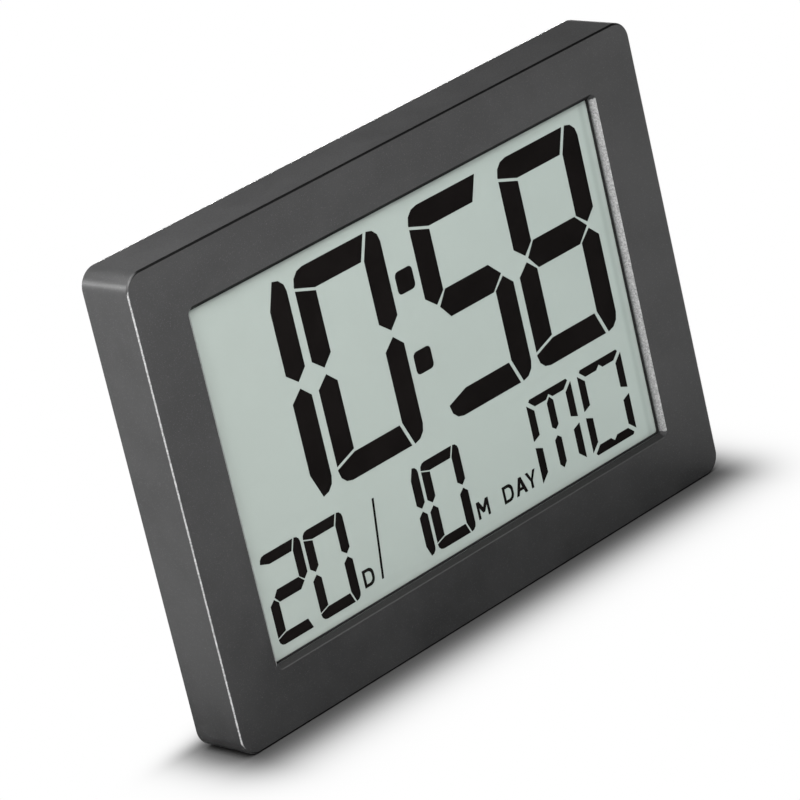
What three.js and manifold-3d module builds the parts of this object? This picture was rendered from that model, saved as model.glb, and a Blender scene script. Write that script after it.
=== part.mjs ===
// Digital wall clock: a flat case with a recessed liquid crystal display.
// Millimetres. X is the width, the face looks along -Y, Z is up.
// The origin is the middle of the case's footprint, on the surface that it stands on.
import * as THREE from 'three';
import { mergeVertices } from 'three/addons/utils/BufferGeometryUtils.js';
import Module from 'manifold-3d';

// Window and the bezel around it
const WINDOW_WIDTH = 224;
const WINDOW_HEIGHT = 148.4;
const WINDOW_BEVEL = 1.9;
const WINDOW_CORNER = 1;
const SIDE_MARGIN = 25;
const SILL_HEIGHT = 25.3;
const TOP_MARGIN = 22.3;

// Case shell
const CASE_CORNER = 8;
const CASE_WALL = 2.2;
const EDGE_ROUND = 0.8;
const FACE_PLATE = 2.8;
const COVER_PLATE = 2;
const COVER_GAP = 0.3;

// Display, from the gasket at the front to the reflector at the back
const GASKET_THICKNESS = 1;
const GASKET_LAP = 0.3;
const GASKET_RIM = 4;
const GASKET_CORNER = 1;
const FILM_THICKNESS = 0.3;
const GLASS_THICKNESS = 1.1;
const SEGMENT_FILM = 0.1;
const SEGMENT_RELIEF = 0.1;
const GLASS_MARGIN = 4.2;
const FILM_INSET = 1;
const CONTACT_LEDGE = 7;
const LAYER_GAP = 0.1;
const POCKET_WALL = 1.2;

// Figures of the display, drawn for a view of this size: they grow with the real one
const LAYOUT_WIDTH = 220.2;
const LAYOUT_HEIGHT = 144.6;
const FIGURE_HEIGHT = 88.1;
const FIGURE_WIDTH = 46.7;
const FIGURE_STROKE = 10.2;
const FIGURE_PITCH = 50.4;
const FIGURE_RIGHT_MARGIN = 8.1;
const FIGURE_TOP_MARGIN = 6.2;
const COLON_SIZE = 9.4;
const COLON_SPACING = 33.3;
const COLON_RISE = 1.9;
const COLON_ROOM = 62.1;
const DATE_HEIGHT = 37.2;
const DATE_WIDTH = 21.4;
const DATE_STROKE = 4.5;
const DATE_PITCH = 22.9;
const DATE_DROP = 8.4;
const DATE_LEFT_MARGIN = 5.3;
const MONTH_OFFSET = 64.7;
const SLASH_OFFSET = 60.4;
const SLASH_LEAN = 4.2;
const SLASH_STROKE = 1.1;
const SLASH_INSET = 2.5;
const WEEKDAY_WIDTH = 26;
const WEEKDAY_PITCH = 29.9;
const WEEKDAY_STROKE = 3.8;
const WEEKDAY_RIGHT_MARGIN = 10.6;

// Retainer frame and main board
const RETAINER_THICKNESS = 2.2;
const RETAINER_BAR = 14;
const RETAINER_LAP = 3;
const RETAINER_CORNER = 2;
const EAR_WALL = 1;
const RETAINER_POSTS = [0.21, 0.79];
const BOARD_THICKNESS = 1.6;
const BOARD_HEIGHT = 38;
const BOARD_CORNER = 1;
const BOARD_GAP = 0.4;
const BOARD_INSET = 7;
const BOARD_DROP = 1;
const STRIP_THICKNESS = 3;
const STRIP_INSET = 15.3;
const BOARD_SCREW_INSET = 9.8;
const BOARD_SCREW_RISE = 3;

// Parts on the board
const CHIP_DIAMETER = 15;
const CHIP_HEIGHT = 1.6;
const CHIP_DROP = 2;
const CRYSTAL_DIAMETER = 2;
const CRYSTAL_LENGTH = 6;
const CRYSTAL_X = 14;
const CAPACITOR_DIAMETER = 5;
const CAPACITOR_HEIGHT = 6.5;
const SWITCH_SIZE = 6;
const SWITCH_HEIGHT = 3.5;
const PLUNGER_DIAMETER = 3.4;
const PLUNGER_RISE = 1.2;
const PLUNGER_SUNK = 1;

// Buttons in the rear cover
const BUTTON_NAMES = ['mode', 'set', 'up', 'down'];
const BUTTON_WIDTH = 9;
const BUTTON_HEIGHT = 6;
const BUTTON_CORNER = 1.6;
const BUTTON_INSET = 0.2;
const BUTTON_PITCH = 14;
const BUTTON_MARGIN = 33;
const BUTTON_Z = 38;
const BUTTON_FLANGE = 1.4;
const FLANGE_THICKNESS = 1;
const BUTTON_STEM = 4;
const BUTTON_TRAVEL = 0.6;

// Cells and their bay
const CELL_DIAMETER = 14.2;
const CELL_LENGTH = 50.5;
const CELL_NUB = 5.5;
const CELL_NUB_LENGTH = 1.2;
const CELL_SHOULDER = 0.8;
const CELL_HEEL = 0.6;
const CELL_PLAY = 0.3;
const CELL_SPACING = 15.4;
const BAY_GAP = 0.7;
const BAY_FLOOR = 1.4;
const BAY_WALL = 1.4;
const BAY_BOTTOM = 58;
const BAY_OFFSET = 5;
const CONTACT_SHEET = 0.4;
const CONTACT_SIZE = 10;
const TAB_HALF = 1.5;
const SPRING_LENGTH = 4.8;
const SPRING_TURNS = 3;
const SPRING_WIRE = 0.8;
const SPRING_WIDE = 4.4;
const SPRING_NARROW = 2.6;
const SPRING_STEPS = 8;
const SPRING_SIDES = 5;
const LEAD_DIAMETER = 1.4;
const LEAD_SIDES = 8;
const LEAD_STEPS = 22;
const LEAD_BEND = 1.5;
const LEAD_BOW = 3;
const LEAD_PAD_DROP = 5;
const RED_LEAD_OFFSET = 14;
const BLACK_LEAD_OFFSET = 8;

// Battery lid
const LID_THICKNESS = 1.6;
const LID_LAP = 3.4;
const LID_CORNER = 1.2;
const LID_TAB_WIDTH = 8;
const LID_TAB_REACH = 1.9;
const LID_TAB_THICKNESS = 1.3;
const LID_TAB_INSET = 12;
const TONGUE_WIDTH = 12;
const TONGUE_LENGTH = 9;
const TONGUE_SLOT = 0.8;
const CATCH_WIDTH = 1.2;
const LEDGE_THICKNESS = 1.6;
const TAB_NECK = 2;
const TAB_SWING = 0.75;

// Fold-out stand
const STAND_WIDTH = 65;
const STAND_FOOT_WIDTH = 48;
const STAND_THICKNESS = 3;
const STAND_HEIGHT = 84;
const STAND_FLOOR_Z = 21.5;
const STAND_PIN_DIAMETER = 3;
const STAND_PIN_LENGTH = 3;
const STAND_INSET = 0.6;
const TRAY_GAP = 1;
const TRAY_WALL = 1.6;
const PIN_CLEARANCE = 0.15;
const SOCKET_WALL = 3.2;
const STAND_CHAMFER = 3;
const STAND_SHOULDER = 17;
const STAND_BORDER = 10;
const SCOOP_RADIUS = 10;

// Keyhole for a wall screw, and the bare field for a label
const KEYHOLE_DIAMETER = 9;
const KEYHOLE_SLOT = 4.6;
const KEYHOLE_RISE = 10;
const KEYHOLE_DROP = 28;
const POCKET_DEPTH = 6.5;
const POCKET_WIDTH = 16;
const POCKET_DROP = 7;
const LABEL_WIDTH = 60;
const LABEL_HEIGHT = 34;
const LABEL_DEPTH = 0.4;
const LABEL_CORNER = 2;

// Screws
const CASE_SCREW = { shank: 2.6, head: 5, headHeight: 1.8, length: 9.5 };
const FRAME_SCREW = { shank: 2, head: 4, headHeight: 1.4, length: 6 };
const BOARD_SCREW = { shank: 1.6, head: 3.4, headHeight: 1.1, length: 3.4 };
const SCREW_INSET = 11;
const BOSS_WALL = 2.2;
const THREAD_CLEARANCE = 0.15;
const HOLE_CLEARANCE = 0.2;

// Shared clearances, how far joined bodies and cuts run into each other, and the facets of a round
const FIT = 0.3;
const OVER = 1;
const SIDES = 20;
const SMALL_SIDES = 12;
const ARC_STEPS = 6;
const CASE_ARC_STEPS = 9;
const EDGE_STEPS = 4;
const SMALL_ARC_STEPS = 3;

// Depths, from the face at the front to the back plane
const DISPLAY_DEPTH = FACE_PLATE + GASKET_THICKNESS + 2 * FILM_THICKNESS + 2 * GLASS_THICKNESS
  + SEGMENT_FILM + SEGMENT_RELIEF + 6 * LAYER_GAP;
const BAY_DEPTH = CELL_DIAMETER + 2 * CELL_PLAY;
const CASE_DEPTH = DISPLAY_DEPTH + BAY_GAP + BAY_FLOOR + BAY_DEPTH + LID_THICKNESS + LAYER_GAP;
const FACE_Y = -CASE_DEPTH / 2;
const BACK_Y = CASE_DEPTH / 2;
const PLATE_BACK_Y = FACE_Y + FACE_PLATE;
const GASKET_Y = PLATE_BACK_Y + LAYER_GAP;
const POLARISER_Y = GASKET_Y + GASKET_THICKNESS + LAYER_GAP;
const FRONT_GLASS_Y = POLARISER_Y + FILM_THICKNESS + LAYER_GAP;
const SEGMENT_Y = FRONT_GLASS_Y + GLASS_THICKNESS + LAYER_GAP;
const REAR_GLASS_Y = SEGMENT_Y + SEGMENT_RELIEF + SEGMENT_FILM + LAYER_GAP;
const REFLECTOR_Y = REAR_GLASS_Y + GLASS_THICKNESS + LAYER_GAP;
const RETAINER_Y = REFLECTOR_Y + FILM_THICKNESS + LAYER_GAP;
const BOARD_Y = RETAINER_Y + RETAINER_THICKNESS + BOARD_GAP;
const BOARD_BACK_Y = BOARD_Y + BOARD_THICKNESS;
const COVER_Y = BACK_Y - COVER_PLATE;
const CASE_BOSS_Y = COVER_Y - BOSS_WALL;
const SWITCH_Y = BOARD_BACK_Y + LAYER_GAP;
const SWITCH_TOP_Y = SWITCH_Y + SWITCH_HEIGHT;

// Heights and widths that follow from the sizes above
const CASE_WIDTH = WINDOW_WIDTH + 2 * SIDE_MARGIN;
const CASE_HEIGHT = SILL_HEIGHT + WINDOW_HEIGHT + TOP_MARGIN;
const WINDOW_Z = SILL_HEIGHT + WINDOW_HEIGHT / 2;
const VIEW_HALF = WINDOW_WIDTH / 2 - WINDOW_BEVEL;
const VIEW_BOTTOM = SILL_HEIGHT + WINDOW_BEVEL;
const VIEW_TOP = SILL_HEIGHT + WINDOW_HEIGHT - WINDOW_BEVEL;
const GLASS_WIDTH = 2 * (VIEW_HALF + GLASS_MARGIN);
const GLASS_HEIGHT = VIEW_TOP - VIEW_BOTTOM + 2 * GLASS_MARGIN;
const GLASS_BOTTOM = WINDOW_Z - GLASS_HEIGHT / 2;
const GLASS_TOP = WINDOW_Z + GLASS_HEIGHT / 2;
const LEDGE_Z = GLASS_BOTTOM - CONTACT_LEDGE;
const POCKET_GAP = FIT + LAYER_GAP;
const FRAME_HALF = GLASS_WIDTH / 2 + POCKET_GAP + POCKET_WALL;
const FRAME_POST_X = FRAME_HALF + FRAME_SCREW.shank / 2 + BOSS_WALL;
const BOARD_BOTTOM = LEDGE_Z - RETAINER_LAP - BOARD_DROP;
const STRIP_Z = LEDGE_Z + CONTACT_LEDGE / 2 - STRIP_THICKNESS / 2;
const BOARD_SCREW_Z = GLASS_BOTTOM + BOARD_SCREW_RISE;
const BOARD_WIDTH = GLASS_WIDTH - 2 * BOARD_INSET;
const BOARD_SCREW_PITCH = (BOARD_WIDTH - 2 * BOARD_SCREW_INSET) / 3;
const STRIP_HALF = BOARD_WIDTH / 2 - STRIP_INSET;
const BUTTON_FIRST_X = CASE_WIDTH / 2 - BUTTON_MARGIN - (BUTTON_NAMES.length - 1) * BUTTON_PITCH;

// Places in the rear cover
const TRAY_HALF = STAND_WIDTH / 2 + TRAY_GAP;
const TRAY_BOTTOM = STAND_FLOOR_Z - TRAY_GAP;
const PIN_END = STAND_WIDTH / 2 + STAND_PIN_LENGTH;
const HINGE_Z = STAND_FLOOR_Z + STAND_HEIGHT;
const TRAY_TOP = HINGE_Z + STAND_THICKNESS / 2 + TRAY_GAP;
const TRAY_FLOOR_Y = BACK_Y - STAND_INSET - STAND_THICKNESS - TRAY_GAP;
const HINGE_Y = BACK_Y - STAND_INSET - STAND_THICKNESS / 2;
const BAY_LENGTH = CELL_LENGTH + SPRING_LENGTH + 2 * CONTACT_SHEET + 5 * FIT;
const BAY_RIGHT = -(TRAY_HALF + TRAY_WALL + BAY_WALL + BAY_OFFSET);
const BAY_LEFT = BAY_RIGHT - BAY_LENGTH;
const BAY_HEIGHT = CELL_SPACING + CELL_DIAMETER + 2 * CELL_PLAY;
const BAY_TOP = BAY_BOTTOM + BAY_HEIGHT;
const BAY_FLOOR_Y = BACK_Y - LAYER_GAP - LID_THICKNESS - BAY_DEPTH;
const CELL_Y = BAY_FLOOR_Y + BAY_DEPTH / 2;
const LOWER_CELL_Z = BAY_BOTTOM + CELL_PLAY + CELL_DIAMETER / 2;
const UPPER_CELL_Z = LOWER_CELL_Z + CELL_SPACING;
const LID_LEFT = BAY_LEFT - LID_LAP;
const LID_RIGHT = BAY_RIGHT + LID_LAP;
const LID_BOTTOM = BAY_BOTTOM - LID_LAP;
const LID_TOP = BAY_TOP + LID_LAP;
const LID_MIDDLE = (LID_LEFT + LID_RIGHT) / 2;
const LID_Y = BACK_Y - LAYER_GAP - LID_THICKNESS;
const LID_SEAT_Y = LID_Y - LAYER_GAP;
const TAB_Y = LID_SEAT_Y - LEDGE_THICKNESS - FIT - LID_TAB_THICKNESS;
const LID_HALF_TONGUE = TONGUE_WIDTH / 2;
const KEYHOLE_Z = CASE_HEIGHT - KEYHOLE_DROP;
const KEYHOLE_TOP = KEYHOLE_Z + KEYHOLE_RISE;
const POCKET_BOTTOM = KEYHOLE_Z - POCKET_DROP;
const POCKET_TOP = KEYHOLE_TOP + POCKET_WIDTH / 2;
const POCKET_FLOOR_Y = COVER_Y - POCKET_DEPTH;

const wasm = await Module();
wasm.setup();
const clock = new THREE.Group();

// Finishes
const finish = {
  case: { color: 0x3b3c3f, roughness: 0.55, metalness: 0.15 },
  cover: { color: 0x35363a, roughness: 0.7, metalness: 0 },
  button: { color: 0x8b8d90, roughness: 0.6, metalness: 0 },
  gasket: { color: 0x0c0c0d, roughness: 0.9, metalness: 0 },
  film: { color: 0xe8efe9, roughness: 0.3, metalness: 0, transparent: true, opacity: 0.15 },
  glass: { color: 0xdfe9e2, roughness: 0.1, metalness: 0, transparent: true, opacity: 0.12 },
  segment: { color: 0x1e1b1a, roughness: 0.4, metalness: 0 },
  reflector: { color: 0xb1bdb6, roughness: 0.5, metalness: 0.1 },
  frame: { color: 0xd9d8d2, roughness: 0.7, metalness: 0 },
  rubber: { color: 0x4a4a4c, roughness: 0.85, metalness: 0 },
  board: { color: 0x1f6b3b, roughness: 0.55, metalness: 0 },
  epoxy: { color: 0x141414, roughness: 0.45, metalness: 0 },
  steel: { color: 0xb9bcc0, roughness: 0.35, metalness: 0.9 },
  can: { color: 0xc9ccd0, roughness: 0.3, metalness: 0.9 },
  cell: { color: 0x2b2c30, roughness: 0.4, metalness: 0.3 },
  red: { color: 0xa61c1c, roughness: 0.5, metalness: 0 },
  black: { color: 0x17171a, roughness: 0.5, metalness: 0 },
};

// Turns a closed geometry into a solid that can be joined and cut
function solid(geometry) {
  const bare = geometry.index ? geometry.toNonIndexed() : geometry.clone();
  bare.deleteAttribute('normal');
  bare.deleteAttribute('uv');
  const merged = mergeVertices(bare, 1e-4);
  return new wasm.Manifold(new wasm.Mesh({
    numProp: 3,
    vertProperties: new Float32Array(merged.attributes.position.array),
    triVerts: new Uint32Array(merged.index.array),
  }));
}

// Turns a solid back into a geometry
function geometryOf(body) {
  const { vertProperties, triVerts } = body.getMesh();
  const geometry = new THREE.BufferGeometry();
  geometry.setAttribute('position', new THREE.BufferAttribute(vertProperties, 3));
  geometry.setIndex(new THREE.BufferAttribute(triVerts, 1));
  geometry.computeVertexNormals();
  return geometry;
}

// Adds one named piece to the clock
function piece(name, body, material, home = clock) {
  const geometry = body.isBufferGeometry ? body : geometryOf(body);
  const mesh = new THREE.Mesh(geometry, new THREE.MeshStandardMaterial(finish[material]));
  mesh.name = name;
  home.add(mesh);
  return mesh;
}

function union(bodies) {
  return bodies.reduce((sum, body) => sum.add(body));
}

function cut(body, tools) {
  return tools.reduce((rest, tool) => rest.subtract(tool), body);
}

// A block between two corners
function block([x0, x1], [y0, y1], [z0, z1]) {
  const geometry = new THREE.BoxGeometry(x1 - x0, y1 - y0, z1 - z0);
  return solid(geometry.translate((x0 + x1) / 2, (y0 + y1) / 2, (z0 + z1) / 2));
}

// A round rod along Y
function rodY(x, z, radius, y0, y1, sides = SIDES) {
  const geometry = new THREE.CylinderGeometry(radius, radius, y1 - y0, sides);
  return solid(geometry.translate(x, (y0 + y1) / 2, z));
}

// A round rod along X
function rodX(y, z, radius, x0, x1, sides = SIDES) {
  const geometry = new THREE.CylinderGeometry(radius, radius, x1 - x0, sides);
  return solid(geometry.rotateZ(Math.PI / 2).translate((x0 + x1) / 2, y, z));
}

// A rectangle with round corners, drawn in the plane of the face
function roundedRect(x0, x1, z0, z1, radius) {
  const shape = new THREE.Shape();
  shape.moveTo(x0 + radius, z0);
  shape.lineTo(x1 - radius, z0);
  shape.absarc(x1 - radius, z0 + radius, radius, -Math.PI / 2, 0, false);
  shape.lineTo(x1, z1 - radius);
  shape.absarc(x1 - radius, z1 - radius, radius, 0, Math.PI / 2, false);
  shape.lineTo(x0 + radius, z1);
  shape.absarc(x0 + radius, z1 - radius, radius, Math.PI / 2, Math.PI, false);
  shape.lineTo(x0, z0 + radius);
  shape.absarc(x0 + radius, z0 + radius, radius, Math.PI, Math.PI * 1.5, false);
  return shape;
}

// A plate of a given outline between two depths
function plate(shape, y0, y1, arcSteps = ARC_STEPS) {
  const options = { depth: y1 - y0, bevelEnabled: false, curveSegments: arcSteps };
  const geometry = new THREE.ExtrudeGeometry(shape, options);
  return solid(geometry.rotateX(Math.PI / 2).translate(0, y1, 0));
}

// The case's outer block, with its front and back edges rounded
function roundedCase() {
  const outline = roundedRect(-CASE_WIDTH / 2, CASE_WIDTH / 2, 0, CASE_HEIGHT, CASE_CORNER);
  const geometry = new THREE.ExtrudeGeometry(outline, {
    depth: CASE_DEPTH - 2 * EDGE_ROUND,
    bevelThickness: EDGE_ROUND,
    bevelSize: EDGE_ROUND,
    bevelOffset: -EDGE_ROUND,
    bevelSegments: EDGE_STEPS,
    curveSegments: CASE_ARC_STEPS,
  });
  return solid(geometry.rotateX(Math.PI / 2).translate(0, BACK_Y - EDGE_ROUND, 0));
}

// The window's cut: straight through the plate, and bevelled out to the face.
// The bevel's outline is drawn upside down, because the turn that lays it along Y turns it over.
function windowCut() {
  const straight = roundedRect(-VIEW_HALF, VIEW_HALF, VIEW_BOTTOM, VIEW_TOP, WINDOW_CORNER);
  const turned = roundedRect(-VIEW_HALF, VIEW_HALF, -VIEW_TOP, -VIEW_BOTTOM, WINDOW_CORNER);
  const bevel = new THREE.ExtrudeGeometry(turned, {
    depth: OVER,
    bevelThickness: WINDOW_BEVEL,
    bevelSize: WINDOW_BEVEL,
    bevelSegments: 1,
    curveSegments: ARC_STEPS,
  });
  return solid(bevel.rotateX(-Math.PI / 2).translate(0, FACE_Y - OVER, 0))
    .add(plate(straight, FACE_Y, PLATE_BACK_Y + OVER));
}

// A rectangular ring of one width, as the pocket wall and the gasket have
function ring(outerHalf, innerHalf, outerZ, innerZ, corner, y0, y1) {
  const shape = roundedRect(-outerHalf, outerHalf, outerZ[0], outerZ[1], corner);
  shape.holes.push(roundedRect(-innerHalf, innerHalf, innerZ[0], innerZ[1], corner));
  return plate(shape, y0, y1, SMALL_ARC_STEPS);
}

// Places of the six case screws
function caseScrewPlaces() {
  const x = CASE_WIDTH / 2 - SCREW_INSET;
  const heights = [SCREW_INSET + COVER_PLATE, CASE_HEIGHT / 2, CASE_HEIGHT - SCREW_INSET - COVER_PLATE];
  return heights.flatMap((z) => [[-x, z], [x, z]]);
}

// Places of the four screws that hold the retainer
function frameScrewPlaces() {
  return RETAINER_POSTS.flatMap((share) => {
    const z = SILL_HEIGHT + WINDOW_HEIGHT * share;
    return [[-FRAME_POST_X, z], [FRAME_POST_X, z]];
  });
}

// Places of the four board screws
function boardScrewPlaces() {
  return [-1.5, -0.5, 0.5, 1.5].map((step) => [step * BOARD_SCREW_PITCH, BOARD_SCREW_Z]);
}

// The wall behind the window that keeps the display in place
function displayPocket() {
  const low = LEDGE_Z - POCKET_GAP;
  const high = GLASS_TOP + POCKET_GAP;
  return ring(
    FRAME_HALF, FRAME_HALF - POCKET_WALL, [low - POCKET_WALL, high + POCKET_WALL], [low, high],
    POCKET_GAP, PLATE_BACK_Y - OVER, RETAINER_Y - FIT,
  );
}

// Bezel and side walls in one moulding, with its screw bosses and the display's pocket
function frontHousing() {
  const outer = roundedCase();
  const inside = CASE_WIDTH / 2 - CASE_WALL;
  const hollow = roundedRect(-inside, inside, CASE_WALL, CASE_HEIGHT - CASE_WALL, CASE_CORNER - CASE_WALL);
  const shell = cut(outer, [plate(hollow, PLATE_BACK_Y, BACK_Y + OVER)]);
  const bosses = caseScrewPlaces().map(([x, z]) => (
    rodY(x, z, CASE_SCREW.shank / 2 + BOSS_WALL, PLATE_BACK_Y - OVER, CASE_BOSS_Y - LAYER_GAP, SMALL_SIDES)
  ));
  const posts = frameScrewPlaces().map(([x, z]) => (
    rodY(x, z, FRAME_SCREW.shank / 2 + BOSS_WALL - FIT, PLATE_BACK_Y - OVER, RETAINER_Y - FIT, SMALL_SIDES)
  ));
  const caseBoreEnd = COVER_Y - CASE_SCREW.length - OVER;
  const caseBores = caseScrewPlaces().map(([x, z]) => (
    rodY(x, z, CASE_SCREW.shank / 2 + THREAD_CLEARANCE, caseBoreEnd, BACK_Y, SMALL_SIDES)
  ));
  const postBores = frameScrewPlaces().map(([x, z]) => {
    const tip = RETAINER_Y + RETAINER_THICKNESS - FRAME_SCREW.length;
    return rodY(x, z, FRAME_SCREW.shank / 2 + THREAD_CLEARANCE, tip - FIT, RETAINER_Y, SMALL_SIDES);
  });
  return cut(union([shell, displayPocket(), ...bosses, ...posts]), [windowCut(), ...caseBores, ...postBores]);
}

// Black foam ring between the face plate and the display
function windowGasket() {
  return ring(
    VIEW_HALF + GASKET_RIM, VIEW_HALF - GASKET_LAP,
    [VIEW_BOTTOM - GASKET_RIM, VIEW_TOP + GASKET_RIM], [VIEW_BOTTOM + GASKET_LAP, VIEW_TOP - GASKET_LAP],
    GASKET_CORNER, GASKET_Y, GASKET_Y + GASKET_THICKNESS,
  );
}

// One sheet of the display; the front ones reach down to the contact ledge
function sheet(y, thickness, bottom, inset = 0) {
  const half = GLASS_WIDTH / 2 - inset;
  return block([-half, half], [y, y + thickness], [bottom + inset, GLASS_TOP - inset]);
}

// A closed outline from a list of points
function outlineOf(points) {
  return new THREE.Shape(points.map(([x, z]) => new THREE.Vector2(x, z)));
}

// Points of a round corner, turned from one angle to the other
function corner(x, z, radius, from, to) {
  const steps = 3;
  return Array.from({ length: steps + 1 }, (_, i) => {
    const angle = ((from + (to - from) * i / steps) * Math.PI) / 180;
    return [x + radius * Math.cos(angle), z + radius * Math.sin(angle)];
  });
}

// The seven bars of a figure, with the lower left corner at the origin.
// The top and bottom bars take the left corners, the right bars take the right corners.
function figureBars(width, height, stroke) {
  const round = stroke * 0.6;
  const middle = height / 2 + stroke * 0.15;
  const reach = stroke * 0.57;
  const tip = stroke * 0.13;
  const inner = width - stroke;
  const top = [
    ...corner(round, height - round, round, 180, 90),
    [width - stroke * 0.76, height], [width - stroke * 1.15, height - stroke],
    [stroke, height - stroke], [0, height - stroke * 0.66],
  ];
  const upperLeft = [
    [0, height - stroke * 0.78], [stroke, height - stroke * 1.12],
    [stroke, middle + reach], [stroke * 0.53, middle + tip], [0, middle + reach],
  ];
  const lowerLeft = [
    [0, stroke * 0.78], [0, middle - reach], [stroke * 0.53, middle - tip],
    [stroke, middle - reach], [stroke, stroke * 1.12],
  ];
  const upperRight = [
    ...corner(width - round, height - round, round, 90, 0),
    [width, middle + reach], [width - stroke * 0.47, middle + tip], [inner, middle + reach],
    [inner, height - stroke * 1.03],
  ];
  const lowerRight = [
    [inner, stroke * 1.03], [inner, middle - reach], [width - stroke * 0.47, middle - tip],
    [width, middle - reach], ...corner(width - round, round, round, 0, -90),
  ];
  const centre = [
    [stroke * 0.65, middle], [stroke * 1.1, middle + reach], [width - stroke * 1.1, middle + reach],
    [width - stroke * 0.53, middle], [width - stroke * 1.1, middle - reach], [stroke * 1.1, middle - reach],
  ];
  const bottom = top.map(([x, z]) => [x, height - z]).reverse();
  return { a: top, b: upperRight, c: lowerRight, d: bottom, e: lowerLeft, f: upperLeft, g: centre };
}

const FIGURE_CODES = { 0: 'abcdef', 1: 'bc', 2: 'abged', 5: 'afgcd', 8: 'abcdefg' };

// A figure's lit bars, with the lower left corner at x, z
function figure(value, x, z, width, height, stroke) {
  const bars = figureBars(width, height, stroke);
  return [...FIGURE_CODES[value]].map((code) => bars[code].map(([u, v]) => [x + u, z + v]));
}

// The bars of a letter of the weekday: M has a middle upright, O has a foot
function weekdayBars(x, z, letter) {
  const stroke = WEEKDAY_STROKE;
  const width = WEEKDAY_WIDTH;
  const height = DATE_HEIGHT;
  const middle = height / 2;
  const notch = stroke * 0.35;
  const side = [
    [0, height - stroke * 0.5], [stroke, height - stroke * 1.4],
    [stroke, middle + stroke * 0.75], [0, middle + notch],
  ];
  const post = [
    [(width - stroke) / 2, height - stroke * 1.4], [width / 2, height - stroke * 0.85],
    [(width + stroke) / 2, height - stroke * 1.4], [(width + stroke) / 2, middle + stroke * 0.75],
    [width / 2, middle + notch], [(width - stroke) / 2, middle + stroke * 0.75],
  ];
  const top = [
    [stroke * 0.6, height], [width - stroke * 0.6, height], [width - stroke * 0.4, height - stroke * 0.25],
    [width - stroke * 1.2, height - stroke], [(width + stroke) / 2, height - stroke],
    [width / 2, height - stroke * 0.55], [(width - stroke) / 2, height - stroke],
    [stroke * 1.2, height - stroke], [stroke * 0.4, height - stroke * 0.25],
  ];
  const over = (points) => points.map(([u, v]) => [u, height - v]).reverse();
  const across = (points) => points.map(([u, v]) => [width - u, v]).reverse();
  const sides = [side, across(side), over(side), over(across(side))];
  const bars = letter === 'M' ? [top, post, over(post), ...sides] : [top, over(top), ...sides];
  return bars.map((points) => points.map(([u, v]) => [x + u, z + v]));
}

// Every lit bar of the display: the time, the date and the weekday.
// They are drawn from the middle of the view's lower edge.
function litBars() {
  const right = LAYOUT_WIDTH / 2 - FIGURE_RIGHT_MARGIN;
  const low = LAYOUT_HEIGHT - FIGURE_TOP_MARGIN - FIGURE_HEIGHT;
  const size = [FIGURE_WIDTH, FIGURE_HEIGHT, FIGURE_STROKE];
  const units = right - FIGURE_WIDTH;
  const tens = units - FIGURE_PITCH;
  const hours = units - FIGURE_PITCH - COLON_ROOM;
  const time = [
    ...figure(1, hours - FIGURE_PITCH, low, ...size), ...figure(0, hours, low, ...size),
    ...figure(5, tens, low, ...size), ...figure(8, units, low, ...size),
  ];
  const colonX = (hours + FIGURE_WIDTH + tens) / 2;
  const colon = [-0.5, 0.5].map((share) => {
    const z = low + FIGURE_HEIGHT / 2 + COLON_RISE + share * COLON_SPACING;
    const radius = COLON_SIZE / 5;
    const inset = COLON_SIZE / 2 - radius;
    const signs = [[1, -1], [1, 1], [-1, 1], [-1, -1]];
    return signs.flatMap(([right, up], turn) => (
      corner(colonX + right * inset, z + up * inset, radius, 90 * turn - 90, 90 * turn)
    ));
  });
  const dateZ = low - DATE_DROP - DATE_HEIGHT;
  const day = -LAYOUT_WIDTH / 2 + DATE_LEFT_MARGIN;
  const month = day + MONTH_OFFSET;
  const small = [DATE_WIDTH, DATE_HEIGHT, DATE_STROKE];
  const slash = day + SLASH_OFFSET;
  const slashEnds = [dateZ + SLASH_INSET, dateZ + DATE_HEIGHT - SLASH_INSET];
  const date = [
    ...figure(2, day, dateZ, ...small), ...figure(0, day + DATE_PITCH, dateZ, ...small),
    [[slash - SLASH_LEAN, slashEnds[0]], [slash - SLASH_LEAN + SLASH_STROKE, slashEnds[0]],
      [slash + SLASH_STROKE, slashEnds[1]], [slash, slashEnds[1]]],
    ...figure(1, month, dateZ, ...small), ...figure(0, month + DATE_PITCH, dateZ, ...small),
  ];
  const second = LAYOUT_WIDTH / 2 - WEEKDAY_RIGHT_MARGIN - WEEKDAY_WIDTH;
  const weekday = [
    ...weekdayBars(second - WEEKDAY_PITCH, dateZ, 'M'), ...weekdayBars(second, dateZ, 'O'),
  ];
  const wide = (2 * VIEW_HALF) / LAYOUT_WIDTH;
  const tall = (VIEW_TOP - VIEW_BOTTOM) / LAYOUT_HEIGHT;
  return [...time, ...colon, ...date, ...weekday].map((points) => (
    points.map(([x, z]) => [x * wide, VIEW_BOTTOM + z * tall])
  ));
}

// The liquid crystal film, with the lit bars as a low relief on its front
function segmentLayer() {
  const base = sheet(SEGMENT_Y + SEGMENT_RELIEF, SEGMENT_FILM, GLASS_BOTTOM, FILM_INSET);
  const bars = litBars().map((points) => (
    plate(outlineOf(points), SEGMENT_Y, SEGMENT_Y + SEGMENT_RELIEF + SEGMENT_FILM / 2)
  ));
  return union([base, ...bars]);
}

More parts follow.
